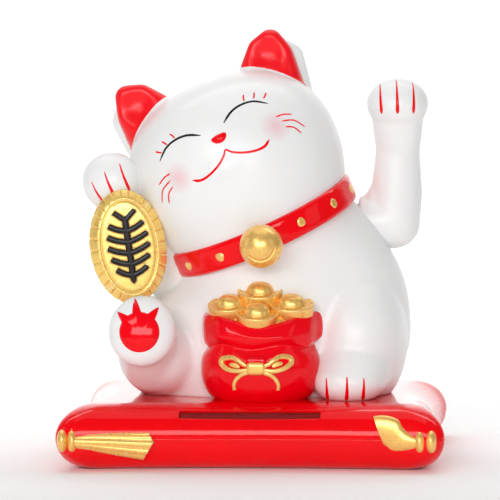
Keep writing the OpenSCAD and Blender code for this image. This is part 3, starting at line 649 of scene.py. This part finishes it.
# ---------------------------------------------------------------- arms
def make_arm():
    form = Form()
    pivot = Vector((0, PIVOT_Y, PIVOT_Z))
    elbow, upper, wrist = Vector((39.7, PIVOT_Y, PIVOT_Z)), at_deck(41, 10, 58), at_deck(41, 9.6, 70.5)
    paw = at_deck(41, 6.6, 84.2)

    def barrel(rows):
        form.loft([[pivot + Vector((x, r * math.cos(a), r * math.sin(a))) for a in angles(64)]
                   for x, r in rows])

    barrel(((29.4, 7.2), (30, 7.8), (33, 7.8), (36, 7.8), (39.7, 7.8)))
    form.hull((elbow, (7.8,) * 3, (0, 90, 0)), (upper, (7.2,) * 3), (wrist, (6.5,) * 3))
    form.hull((wrist, (6.5,) * 3), (paw, (8.2, 7.6, 6.8), (14, 0, 0)))
    form.egg(paw, (9.1, 8.6, 7.6), (14, 0, 0))
    form.hull((pivot + Vector((33.6, 0, 4.4)), (4, 5, 4)), (pivot + Vector((38, 0, 12)), (3.6, 5, 4)))
    barrel(((20.5, 5.4), (25, 5.4), (31, 5.4)))
    return shown(fused("waving_arm", form, 0.45, 10), ARM, "white_gloss", "arm_shell_front", "arm_shell_back")


waving_arm = make_arm()
wear(waving_arm, white)


def make_coin_arm():
    form = Form()
    shoulder, wrist, paw = at_deck(-23.5, 2.5, 36.5), at_deck(-38, -3.5, 54), at_deck(-41.8, -8.6, 62.2)
    form.hull((shoulder, (10.5, 11, 11.5)), (wrist, (7.6, 8.4, 8)))
    form.hull((wrist, (7.6, 8.4, 8)), (paw, (8.2, 8, 7.6)))
    form.egg(paw, (8.8, 9, 8.6), (0, 20, 0))
    return shown(fused("coin_arm", form, 0.5, 10), BODY, "white_gloss", "coin_arm_front", "coin_arm_back")


coin_arm = make_coin_arm()
wear(coin_arm, white)


# ---------------------------------------------------------------- painted claws and pad
def claws(name, sheet, rows, width, body_name):
    form = Form()
    for keys in rows:
        sheet.stroke(form, keys, width, 12, taper=(0.9, 0.12))
    finished(name, form, paint_red, "red_lacquer", body=body_name)


claws("waving_claws", Sheet(Surface(waving_arm), (41.2, -2, 104.6), 0),
      [[(-4.8, 4.6), (-4.9, 0), (-4.6, -4.8)],
       [(-0.1, 5.4), (-0.1, 0), (0, -4.9)],
       [(4.7, 4.6), (4.8, 0), (4.7, -4.8)]], 1.35, ARM)
claws("coin_claws", Sheet(Surface(coin_arm), (-39.4, -18, 79.6), 0),
      [[(-7.4, 1.2), (-6.0, -1.8), (-3.6, -5.4)],
       [(-3.6, 4.0), (-2.4, 0.6), (-0.3, -4.0)],
       [(0.7, 6.4), (1.8, 3.0), (3.7, -1.6)]], 1.25, BODY)
claws("toe_claws", Sheet(Surface(body), (27, -30, DECK + 3.4), 0),
      [[(-5.6, 3.4), (-5.5, 0.5), (-5.2, -3.2)],
       [(0.2, 3.8), (0.2, 0.5), (0.1, -3.2)],
       [(5.0, 3.4), (5.0, 0.5), (4.8, -3.0)]], 1.5, BODY)

sole_sheet = Sheet(Surface(body), (-31.5, -34, 38.6), 0)
outline = []
for a in angles(120):
    r = 5.7
    # Three pointed toes: place round the pad in degrees, length
    for at, reach in ((138, 2.9), (98, 4.2), (52, 3.4)):
        r += reach * max(0.0, 1 - abs(degrees_apart(math.degrees(a), at)) / 13) ** 1.15
    outline.append((r * math.cos(a), r * math.sin(a)))
pad = Form()
sole_sheet.patch(pad, outline, 10, 0.07, 0.25)
finished("sole_pad", pad, paint_red, "red_lacquer")


# ---------------------------------------------------------------- cushion
CUSHION_W, CUSHION_D, SEAM = 110, 88, 9.15
SIDE_DIP, CORNER_ROUND = 0.085, 0.11    # as shares of half the cushion
TOP_INSET, FOOT_INSET = 11, 8.5         # how far the sides curve in at the top and foot
WINDOW_W, WINDOW_L, WINDOW_V = 40, 3, 44    # width, length and place up the curve, in degrees
CELL_T = 1.4


def cushion_plan():
    """The pinched square seen from above, as points that reach 1 on each axis, and its sides' share of that."""
    points = []
    side_points, corner_points = 56, 18
    c = 1 - CORNER_ROUND
    for quarter in range(4):
        row = []
        for i in range(side_points):
            x = c * (-1 + 2 * i / side_points)
            row.append((x, -1 + SIDE_DIP * (1 - x * x)))
        for i in range(corner_points):
            t = i / corner_points
            a = math.radians(-90 + 90 * t)
            row.append((c + CORNER_ROUND * math.cos(a) + (1 - c * c) * SIDE_DIP * (t - 1),
                        -c + CORNER_ROUND * math.sin(a) + (1 - c * c) * SIDE_DIP * t))
        for x, y in row:
            for _ in range(quarter):
                x, y = -y, x
            points.append((x, y))
    for _ in range(12):
        points = [tuple((a[k] + 2 * b[k] + c[k]) / 4 for k in (0, 1))
                  for a, b, c in zip(points[-1:] + points[:-1], points, points[1:] + points[:1])]
    reach = max(p[0] for p in points)
    return [(x / reach, y / reach) for x, y in points], (1 - SIDE_DIP) / reach


PLAN, SIDE_SHARE = cushion_plan()


def cushion_ring(inset, z):
    return [Vector((x * (CUSHION_W / 2 - inset), y * (CUSHION_D / 2 - inset), z)) for x, y in PLAN]


def cushion_side(inset, level, turns):
    """Rings round a quarter turn, from the seam to a level where the side has come in by the inset."""
    return [cushion_ring(inset * (1 - math.cos(math.radians(v))),
                         SEAM + (level - SEAM) * math.sin(math.radians(v))) for v in turns]


def make_cushion():
    top, foot = Form(), Form()
    lip = [cushion_ring(0.25, SEAM - 0.05), cushion_ring(0.06, SEAM + 0.02), cushion_ring(0.0, SEAM + 0.16)]
    upper = cushion_side(TOP_INSET, DECK, (2, 4, 7, *range(10, 91, 4)))
    deck = [cushion_ring(TOP_INSET + 33 * s, DECK) for s in (0.12, 0.4, 0.7)]
    top.loft(lip + upper + deck)
    lower = cushion_side(FOOT_INSET, 0, (90, 86, *range(80, 13, -6), 9, 5, 2.5))
    lip = [cushion_ring(0.0, SEAM - 0.16), cushion_ring(0.06, SEAM - 0.04), cushion_ring(0.25, SEAM + 0.02)]
    foot.loft(lower + lip)
    top, foot = top.object("cushion_top"), foot.object("cushion_foot")

    # Opening for the solar cell, square to the curved front
    cos_v, sin_v = math.cos(math.radians(WINDOW_V)), math.sin(math.radians(WINDOW_V))
    window = Vector((0, -(CUSHION_D / 2 - TOP_INSET * (1 - cos_v)) * SIDE_SHARE, SEAM + (DECK - SEAM) * sin_v))
    tilt = math.degrees(math.atan2(cos_v / (TOP_INSET * SIDE_SHARE), sin_v / (DECK - SEAM)))
    tool = Form()
    corner = 0.35
    outline = []
    for sx, sy, start in ((1, 1, 0), (-1, 1, 90), (-1, -1, 180), (1, -1, 270)):
        for k in range(7):
            a = math.radians(start + 15 * k)
            outline.append((sx * (WINDOW_W / 2 - corner) + corner * math.cos(a),
                            sy * (WINDOW_L / 2 - corner) + corner * math.sin(a)))
    tool.loft([[window + turned((x, y, z), x=tilt) for x, y in outline] for z in (-CELL_T - 0.15, 9)])
    cut(top, tool.object("window_tool"))
    bevel = top.modifiers.new("lip", "BEVEL")
    bevel.width = 0.00035
    bevel.segments = 3
    bevel.limit_method = "ANGLE"
    bevel.angle_limit = math.radians(38)
    apply_modifiers(top)
    for piece, node in ((top, "base_top_shell"), (foot, "base_bottom_shell")):
        wear(piece, red)
        shown(piece, BODY, "red_lacquer", node)


make_cushion()


# ---------------------------------------------------------------- tassels
TASSEL_X, TASSEL_Y = CUSHION_W / 2 + 1.2, CUSHION_D / 2 - 1


def tassel_place(side, back, p):
    """Turns a tassel's own point (away from the corner, out, up) into the shared frame."""
    q = turned(p, z=-4)
    return Vector((side * (TASSEL_X - q.x), TASSEL_Y + q.y if back else -TASSEL_Y - q.y, SEAM - 0.5 + q.z))


def tassel_beads(form, side, back, first, second):
    for x in (first, second):
        rings = []
        for i in range(1, 24):
            v = math.pi * i / 24
            ring = []
            for a in angles(48):
                swell = 1 + 0.05 * math.cos(2 * a) * math.sin(v)
                p = (x - 1.55 * math.cos(v), -2.5 * math.sin(v) * math.cos(a) * swell,
                     3.2 * math.sin(v) ** 0.8 * math.sin(a))
                ring.append(tassel_place(side, back, p))
            rings.append(ring)
        form.loft(rings)


def narrowed(ring, shares):
    """A ring drawn in towards its middle, once for each share, which closes an end roundly."""
    middle = sum(ring, Vector()) / len(ring)
    return [[p + (middle - p) * share for p in ring] for share in shares]


def straight_tassel(name, side, back):
    """Two beads and a fluted cone of strands with a slanted end."""
    form = Form()
    tassel_beads(form, side, back, 3.6, 6.4)
    # Distance out, height of the middle, half height
    rows = [(7.2, 0.0, 1.7), (7.8, -0.2, 2.0), (11, -0.35, 2.3), (15, -0.6, 2.75), (20, -0.95, 3.25),
            (25, -1.35, 3.6), (28.2, -1.5, 3.75)]
    rings = []
    steps = 40
    for i in range(steps + 1):
        t = i / steps
        x, z, r = spline(rows, t)
        ring = []
        for a in angles(120):
            strand = (0.015 + 0.045 * t) * math.sin(11 * a + 0.8 * math.sin(3 * a))
            flute = 1 + strand + 0.012 * math.sin(29 * a)
            slant = t ** 6 * (1.3 - 2.3 * abs(math.sin(a) - 0.35))
            p = (x + slant, -2.3 * math.cos(a) * flute, z + r * math.sin(a) * flute)
            ring.append(tassel_place(side, back, p))
        rings.append(ring)
    form.loft(rings + narrowed(rings[-1], (0.06, 0.3, 0.6)))
    return form.object(name)


def swept_tassel(name, side, back):
    """Two beads and a fan of wavy strands swept up to a point."""
    form = Form()
    tassel_beads(form, side, back, 5.1, 8.2)
    top = [(9.2, 1.7), (11.2, 2.6), (12.9, 3.9), (14.3, 6.0), (16.6, 7.0), (19.2, 7.3), (21.2, 7.0)]
    low = [(9.2, -1.9), (11.6, -2.4), (14.2, -2.7), (16.0, -2.5), (17.2, -1.7), (18.4, -0.8), (18.9, 0.4)]
    rings = []
    steps, across = 44, 60
    for i in range(steps + 1):
        t = i / steps
        tx, tz = spline(top, t)
        lx, lz = spline(low, t)
        front, rear = [], []
        for j in range(across + 1):
            v = j / across
            edge = math.sqrt(max(0.0, 1 - (2 * v - 1) ** 2))
            x = lx + (tx - lx) * v + 0.9 * t * math.sin(math.pi * v) * (1 - t)
            z = lz + (tz - lz) * v
            groove = abs(math.sin(math.pi * (4.6 * v ** 1.25 + 0.35 * t))) ** 0.55
            depth = 0.5 + 2.0 * edge ** 0.7 + 0.55 * groove * min(1, 3 * t) - 0.5 * t
            front.append(tassel_place(side, back, (x, -depth, z)))
            rear.append(tassel_place(side, back, (x, 1.4 * edge + 0.3, z)))
        rings.append(front + rear[::-1])
    form.loft(rings + narrowed(rings[-1], (0.05, 0.4)))
    return form.object(name)


def inside_box(p):
    """p held just inside the CAD part's box."""
    return Vector([clamp(v, low * TO_MM + 0.02, high * TO_MM - 0.02)
                   for v, low, high in zip(p, cad_low, cad_high)])


for piece, node in ((straight_tassel("tassel_left", -1, False), "tassel_front_left"),
                    (swept_tassel("tassel_right", 1, False), "tassel_front_right"),
                    (swept_tassel("tassel_rear_left", -1, True), "tassel_back_left"),
                    (straight_tassel("tassel_rear_right", 1, True), "tassel_back_right")):
    reshape(piece, inside_box)
    wear(piece, gold)
    shown(piece, BODY, "gold_paint", node)


# ---------------------------------------------------------------- collar, studs and bell
COLLAR_IN, COLLAR_OUT, COLLAR_H, COLLAR_SAG = 26.1, 29.3, 7.6, 1.3
PLACES = 14                      # for 13 studs and the bell
BELL_R, BELL_DROP = 6.2, -2.2


def collar_point(angle, out, up):
    """A point on the collar, which hangs a little lower in front than a plain ring."""
    a = math.radians(angle)
    return on_neck((out * math.cos(a), out * math.sin(a), up - COLLAR_SAG * max(0, -math.sin(a))))


def make_collar():
    form = Form()
    profile = []
    for a in angles(40):
        out = (COLLAR_IN + COLLAR_OUT) / 2 + (COLLAR_OUT - COLLAR_IN) / 2 * bent(math.cos(a), 0.62)
        profile.append((out, COLLAR_H / 2 * bent(math.sin(a), 0.5)))
    form.loft([[collar_point(1.5 * i, out, up) for out, up in profile] for i in range(240)], closed=True)
    finished("collar_band", form, red, "red_lacquer", "collar")


make_collar()


def make_studs():
    form = Form()
    for n in range(1, PLACES):
        angle = -90 + n * 360 / PLACES
        blots = [random.uniform(-0.07, 0.07) for _ in range(6)]
        rings = []
        for out, share in ((-0.5, 1.0), (0.02, 1.0), (0.14, 0.93), (0.22, 0.72), (0.26, 0.4), (0.27, 0.1)):
            ring = []
            for a in angles(36):
                uneven = (blots[0] * math.cos(2 * a) + blots[1] * math.sin(3 * a)
                          + 0.5 * blots[2] * math.cos(5 * a + 6 * blots[3]))
                r = 1.32 * share * (1 + uneven)
                ring.append(collar_point(angle + math.degrees(r * math.cos(a) / COLLAR_OUT), COLLAR_OUT + out,
                                         r * math.sin(a)))
            rings.append(ring)
        form.loft(rings)
    finished("studs", form, gold, "gold_paint", "collar_studs")


make_studs()


def make_bell():
    """A ball with a smile-shaped crease pressed into its front."""
    form = Form()
    centre = collar_point(-90, COLLAR_OUT + BELL_R * 0.62, COLLAR_SAG) + neck_turned((0, 0, BELL_DROP))
    form.egg(centre, (BELL_R,) * 3, (90, 0, 0), 200, 140)
    bell = form.object("bell")

    def press(p):
        n = (p - centre).normalized()
        if n.y > -0.2:
            return p
        tilt = math.degrees(math.acos(clamp(-n.y)))
        azimuth = math.degrees(math.atan2(n.z, n.x))
        arc = smooth_step(-152, -128, azimuth) * smooth_step(6, -12, azimuth)
        deep = bell_curve(tilt - 40, 3.1) * 0.42
        ridge = bell_curve(tilt - 46.5, 2.4) * 0.10 + bell_curve(tilt - 33.5, 2.2) * 0.08
        return p + n * (ridge - deep) * arc

    reshape(bell, press)
    wear(bell, gold)
    shown(bell, BODY, "gold_paint", "collar_bell")


make_bell()


# ---------------------------------------------------------------- koban coin
KOBAN_SIDE, KOBAN_UP, KOBAN_T, NOTCHES = 11.1, 16.6, 4.4, 28


def koban_point(x, y, z):
    return at_deck(-36.2, -18.4, 43.7) + turned(turned((x, y, z), x=90), x=-3, y=-7.6, z=12)


def make_koban():
    form = Form()
    # Distance in from the rim, height, depth of the notches
    rows = ((0.8, -2.2, 0), (0.3, -1.9, 0.2), (0.05, -0.9, 1), (0.0, -0.3, 1), (0.35, 0.1, 1), (1.2, 1.0, 1),
            (2.1, 1.62, 0.7), (2.55, 1.84, 0.2), (2.75, 1.86, 0), (2.95, 1.78, 0), (3.1, 1.58, 0),
            (3.3, 1.56, 0), (3.5, 1.74, 0), (3.8, 1.86, 0), (4.3, 1.9, 0), (6.5, 1.92, 0), (9.5, 1.93, 0))
    rings = []
    for inset, z, notch in rows:
        ring = []
        for a in angles(520):
            groove = bell_curve(math.sin(NOTCHES * a / 2), 0.2) * 0.5 * notch
            ring.append(koban_point((KOBAN_SIDE - inset - groove * 0.6) * math.cos(a),
                                    (KOBAN_UP - inset - groove * 0.6) * math.sin(a), z - groove * 0.8))
        rings.append(ring)
    form.loft(rings)
    finished("coin_plate", form, coin_gold, "gold_paint", "koban_coin")


make_koban()


def sprig_form(grow, height):
    """Raised strokes with round backs: a stem, paired leaves and a bud, all widened by grow."""
    form = Form()

    def stroke(a, b, w, bend=0.0):
        keys = [a, ((a[0] + b[0]) / 2 + bend, (a[1] + b[1]) / 2 - abs(bend) * 0.6), b]
        path = [spline(keys, i / 16) for i in range(17)]
        rings = []
        for i, (x, y) in enumerate(path):
            ahead, back = path[min(i + 1, 16)], path[max(i - 1, 0)]
            d = Vector((ahead[0] - back[0], ahead[1] - back[1])).normalized()
            end = min(i, 16 - i)
            r = (w / 2 + grow) * math.sqrt(max(0.05, 1 - (1 - min(1, end / 2.2)) ** 2))
            x += d.x * grow * (i - 8) / 8
            y += d.y * grow * (i - 8) / 8
            ring = []
            for k in range(17):
                q = math.pi * k / 16
                side = bent(math.cos(q), 0.6) * r
                ring.append(koban_point(x - d.y * side, y + d.x * side,
                                        KOBAN_T / 2 - 0.5 + height * math.sin(q) ** 0.6))
            rings.append(ring)
        form.loft(rings)

    stroke((0, -10.6), (0, 8.8), 2.0)
    for y, reach in ((-8.4, 4.6), (-5.2, 5.7), (-2.0, 6.2), (1.2, 6.0), (4.4, 5.2)):
        for k in (-1, 1):
            stroke((0, y), (k * reach, y + 2.3), 1.75, k * 0.3)
    for k in (-1, 1):
        stroke((0, 7.6), (k * 3.2, 10.4), 1.6)
    return form


finished("sprig", sprig_form(0, 1.15), black, "black_enamel", "koban_relief")
finished("sprig_edge", sprig_form(0.34, 0.42), gold, "gold_paint")


# ---------------------------------------------------------------- money bag, ingots and bow
BAG = (2, -18.6)
# Rows up the bag: height, half width, half depth, how much the cloth folds
BAG_ROWS = [(0, 13.4, 11.2, 0), (1.2, 14.9, 12.2, 0), (3, 16.2, 13.3, 0), (5.6, 17.1, 14.1, 0),
            (8.4, 17.35, 14.45, 0), (11, 17.2, 14.3, 0), (13.2, 16.6, 13.8, 0.0), (14.8, 15.8, 13.1, 0.1),
            (15.7, 15.4, 12.8, 0.45), (16.3, 15.9, 13.4, 0.8), (17.4, 16.7, 14.3, 1), (19, 17.0, 14.6, 1),
            (21, 17.1, 14.3, 0.9), (23, 17.0, 13.6, 0.8), (24.4, 16.5, 12.8, 0.8), (25, 15.6, 11.9, 0.8),
            (24.6, 14.8, 11.2, 0.8), (23.4, 14.1, 10.6, 0.6)]


def bag_point(t, a):
    z, w, d, fold = spline(BAG_ROWS, t)
    turn = math.degrees(a)
    scallop = math.sin(5 * a + math.radians(40))
    dip = bell_curve(degrees_apart(turn, -90), 34) * 4.4 * smooth_step(17, 24.5, z)
    z += bell_curve(z - 16, 2.4) * 0.75 * scallop - fold * dip + fold * 0.35 * math.sin(3 * a + 0.6)
    swell = 1 + fold * (0.022 * scallop + 0.012 * math.sin(11 * a + 1)) + 0.004 * math.sin(4 * a) * (1 - fold)
    lobe = fold * 0.9 * (bell_curve(degrees_apart(turn, 168), 16) + bell_curve(degrees_apart(turn, 8), 18))
    return at_deck(BAG[0] + (w * swell + lobe) * math.cos(a), BAG[1] + d * swell * math.sin(a), z)


def make_bag():
    form = Form()
    steps = 120
    form.loft([[bag_point(i / steps, a) for a in angles(240)] for i in range(steps + 1)])
    bag = form.object("bag")
    bag_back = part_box("money_bag")[1][1] * TO_MM - 0.1

    def crease(p):
        # Soft folds that run up and out from the knot, on a bag that stops short of the swinging lever
        if p.y > -26 or p.z < DECK + 9:
            return Vector((p.x, min(p.y, bag_back), p.z))
        x, z = p.x - 1.5, p.z - (DECK + 11.6)
        lift = 0.0
        for side, slope, offset in ((-1, 0.44, 0.3), (1, 0.5, 0.3), (-1, 0.28, -0.5), (1, 0.32, -0.5)):
            along = side * x
            if 1.6 < along < 9:
                fold = bell_curve(z - offset - slope * (along - 2.4), 0.42)
                lift += 0.3 * fold * smooth_step(1.8, 3.2, along) * smooth_step(8.8, 6.2, along)
        return p + Vector((0, -lift, 0))

    reshape(bag, crease)
    wear(bag, bag_red)
    return shown(bag, BODY, "red_lacquer", "money_bag")


bag = make_bag()


def add_ingot(form, centre, roll, half, wings):
    """A boat-shaped ingot tipped to the front; half is half its length, wings how far its ends rise."""
    # Share of the outline, height
    rows = ((0.80, -3.4), (0.93, -3.2), (0.975, -2.6), (0.985, -1.6), (0.995, -0.4), (1.0, 0.2), (0.995, 0.42),
            (0.975, 0.58), (0.945, 0.62), (0.90, 0.56), (0.86, 0.40), (0.82, 0.34), (0.76, 0.38), (0.70, 0.42),
            (0.66, 0.40), (0.635, 0.44), (0.62, 0.64), (0.60, 1.05), (0.56, 1.55), (0.49, 2.1), (0.39, 2.6),
            (0.27, 2.92), (0.14, 3.1), (0.03, 3.15))
    rings = []
    for share, z in rows:
        ring = []
        for a in angles(96):
            along = abs(math.cos(a))
            lift = wings * along ** 3 * smooth_step(0.55, 0.98, share) * smooth_step(-2.4, 0.4, z)
            w = half * share * (1 + 0.06 * wings * along ** 4 * smooth_step(0.6, 1, share))
            p = (w * math.cos(a), half * 0.88 * share * math.sin(a), z + lift)
            ring.append(Vector(centre) + turned(p, x=20, y=roll))
        rings.append(ring)
    form.loft(rings)


def make_ingots():
    form = Form()
    add_ingot(form, (2.0, -20.6, 49.0), 0, 6.4, 0.3)
    add_ingot(form, (-6.6, -23.0, 45.5), -3, 6.3, 0)
    add_ingot(form, (11.1, -23.0, 45.6), 3, 6.5, 0.1)
    add_ingot(form, (1.6, -27.0, 43.2), 1, 6.1, 0.1)
    # Gold heap below them
    form.egg((2, -18.2, 40.2), (14.2, 11, 4.8), (0, 0, 0), 64, 32)
    finished("ingots", form, gold, "gold_paint", "gold_ingots")


make_ingots()

bag_sheet = Sheet(Surface(bag), (1.5, -34, DECK + 10), 0, (0, 1, 0))


def ribbon(form, keys, width, thick, steps=36):
    """A flat ribbon with rounded edges lying on the bag; width is given along its length."""
    path = [spline(keys, i / steps) for i in range(steps + 1)]
    rings = []
    for i, (x, y) in enumerate(path):
        place, normal = bag_sheet.place(x, y)
        ahead, _ = bag_sheet.place(*path[min(i + 1, steps)])
        back, _ = bag_sheet.place(*path[max(i - 1, 0)])
        side = normal.cross((ahead - back).normalized()).normalized()
        half = width(i / steps) / 2
        rings.append([place + side * half * bent(math.cos(a), 0.7)
                      + normal * thick * (0.35 + 0.65 * bent(math.sin(a), 0.7)) for a in angles(14)])
    form.loft(rings)


def boxy_ball(form, centre, radii, square):
    """A ball squared off towards a box, more so for a lower square."""
    rings = []
    for i in range(25):
        v = math.pi * i / 24 - math.pi / 2
        wide = max(math.cos(v), 0.0) ** square
        rings.append([centre + Vector((radii[0] * bent(math.sin(v), square),
                                       radii[1] * wide * bent(math.cos(a), 0.6),
                                       radii[2] * wide * bent(math.sin(a), 0.6))) for a in angles(48)])
    form.loft(rings)


def make_bow():
    bow, keeper = Form(), Form()
    for side in (-1, 1):
        # The loop on the right sits a little higher
        up = 0.0 if side < 0 else 0.35
        ribbon(bow, [(side * 2.2, 0.5), (side * 4.4, 1.7), (side * 7.0, 2.7 + up), (side * 9.4, 2.3 + up),
                     (side * 9.7, 0.9 + up), (side * 8.0, -0.5 + up), (side * 5.2, -0.9), (side * 2.2, -0.5)],
               lambda f: 1.1 + 0.5 * math.sin(math.pi * f), 0.95)
        ribbon(bow, [(side * 4.6, 0.15 + up / 2), (side * 6.0, 0.7 + up), (side * 7.4, 0.9 + up)],
               lambda f: 0.6 + 0.9 * math.sin(math.pi * f), 0.6, 16)
        ribbon(bow, [(side * 2.0, -1.2), (side * 4.0, -1.9), (side * 5.6, -3.4), (side * 6.2, -5.0),
                     (side * 6.1, -6.2)], lambda f: 1.35 - 0.3 * f, 0.85)
    knot, _ = bag_sheet.place(0, -0.1)
    boxy_ball(bow, knot, (2.65, 1.5, 1.9), 0.45)
    finished("bow", bow, gold, "gold_paint", "bag_bow")
    # Red keeper showing over the knot
    boxy_ball(keeper, knot + Vector((0, 0.45, 0.9)), (3.0, 1.35, 2.55), 0.4)
    finished("bow_keeper", keeper, bag_red, "red_lacquer")


make_bow()


# ---------------------------------------------------------------- materials of the parts kept from the frame
steel = plain("steel", (0.50, 0.51, 0.53), (0.62, 0.63, 0.65), 500, 0.22, 0.38, 1.0)
magnet_plate = plain("magnet_plate", (0.68, 0.69, 0.70), (0.60, 0.61, 0.63), 300, 0.12, 0.2, 1.0)
cell = plain("cell_film", (0.05, 0.008, 0.012), (0.10, 0.014, 0.02), 900, 0.2, 0.35)
board = plain("board_green", (0.012, 0.12, 0.05), (0.02, 0.17, 0.08), 700, 0.3, 0.45)
chip = plain("chip_black", (0.014, 0.014, 0.016), (0.03, 0.03, 0.032), 900, 0.5, 0.7)
sleeve = plain("can_sleeve", (0.02, 0.035, 0.07), (0.035, 0.05, 0.09), 400, 0.3, 0.4)
copper = plain("copper", (0.65, 0.24, 0.10), (0.45, 0.14, 0.05), 1200, 0.25, 0.4, 1.0, 0.0001)
lead = plain("lead_sleeve", (0.42, 0.015, 0.012), (0.33, 0.012, 0.01), 600, 0.4, 0.55)
natural = plain("natural_plastic", (0.76, 0.74, 0.68), (0.70, 0.68, 0.62), 250, 0.4, 0.55)
cover = plain("clear_cover", (0.42, 0.03, 0.03), (0.36, 0.02, 0.02), 300, 0.1, 0.18)
cover.set(Transmission_Weight=0.6, IOR=1.2, Specular_IOR_Level=0.15)
# Pale contact strips at both ends of the cell
along = cell.nodes.new("ShaderNodeSeparateXYZ")
cell.links.new(cell.place, along.inputs[0])
reach = cell.nodes.new("ShaderNodeMath")
reach.operation = "ABSOLUTE"
cell.links.new(along.outputs[0], reach.inputs[0])
cell.colour(cell.mix(cell.span(reach.outputs[0], 0.0187, 0.0190, 0, 1), cell.base, (0.42, 0.36, 0.35)))
KEPT = {"base_screws": steel, "board_screws": steel, "frame_screws": steel, "pivot_pin": steel,
        "pin_clip": steel, "counterweight": steel, "magnet": magnet_plate, "solar_cell": cell,
        "solar_cover": cover, "cell_leads": lead, "circuit_board": board, "driver_chip": chip,
        "storage_capacitor": sleeve, "coil_leads": copper, "coil_winding": copper, "coil_bobbin": natural,
        "pivot_frame": natural, "arm_hub": natural, "swing_lever": natural}
for node, look in KEPT.items():
    wear(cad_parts[node], look)


# ---------------------------------------------------------------- floor, light and camera
def make_floor():
    """A pale sweep: level under the cat, curving up well behind it."""
    form = Form()
    profile = [(-1500 + 110 * i, 0) for i in range(19)]
    profile += [(480 + 600 * math.sin(math.radians(a)), 600 - 600 * math.cos(math.radians(a)))
                for a in range(6, 91, 6)]
    profile += [(1080, 600 + 100 * i) for i in range(1, 9)]
    row = 25
    form.add([(4000 * (i / (row - 1) - 0.5), y, z) for y, z in profile for i in range(row)],
             [[a, a + 1, a + 1 + row, a + row]
              for r in range(len(profile) - 1) for a in range(r * row, r * row + row - 1)])
    floor = form.object("floor")
    look = Look("floor_white")
    look.colour(look.mix(look.span(look.noise(4), 0.3, 0.7, 0, 1), (0.99, 0.99, 0.99), (0.98, 0.98, 0.98)))
    look.set(Roughness=0.9, Specular_IOR_Level=0.1)
    wear(floor, look)


make_floor()


def area_light(name, place, aim, size, power):
    data = bpy.data.lights.new(name, "AREA")
    data.shape = "RECTANGLE"
    data.size, data.size_y = size
    data.energy = power
    lamp = bpy.data.objects.new(name, data)
    lamp.location = place
    lamp.rotation_mode = "QUATERNION"
    lamp.rotation_quaternion = (Vector(aim) - Vector(place)).to_track_quat("-Z", "Y")
    bpy.context.collection.objects.link(lamp)


middle = (0, 0, 0.06)
area_light("front_strip", (-0.05, -1.2, 0.36), middle, (1.1, 0.34), 8.2)
area_light("key", (-0.42, -0.75, 0.60), middle, (0.22, 0.16), 0.8)
area_light("right", (0.8, -0.4, 0.35), middle, (0.3, 0.5), 0.3)
area_light("left", (-0.9, -0.1, 0.35), middle, (0.4, 0.5), 0.5)
area_light("top", (0, 0.1, 0.95), middle, (0.9, 0.9), 2.0)
area_light("backdrop", (0, 0.35, 0.9), (0, 1.1, 0.3), (1.6, 0.5), 10)

world = bpy.data.worlds.new("studio")
world.use_nodes = True
world.node_tree.nodes["Background"].inputs[0].default_value = (1, 1, 1, 1)
world.node_tree.nodes["Background"].inputs[1].default_value = 0.19
bpy.context.scene.world = world

# Camera where the photo was taken from, with a long lens
elevation, roll = math.radians(3.37), math.radians(-0.35)
back = Vector((math.sin(LOOK_AZ) * math.cos(elevation), -math.cos(LOOK_AZ) * math.cos(elevation),
               math.sin(elevation)))
view = bpy.data.cameras.new("camera")
view.lens = 214.7
view.sensor_width = 36
view.clip_start, view.clip_end = 0.05, 20
camera = bpy.data.objects.new("camera", view)
camera.location = Vector((-0.0023, 0, 0.0599)) + back * 0.876
camera.rotation_mode = "QUATERNION"
camera.rotation_quaternion = (-back).to_track_quat("-Z", "Y") @ Quaternion((0, 0, 1), roll)
bpy.context.collection.objects.link(camera)
bpy.context.scene.camera = camera

# Plain display colours, so that the reds stay as red as in the photo
bpy.context.scene.view_settings.view_transform = "Standard"
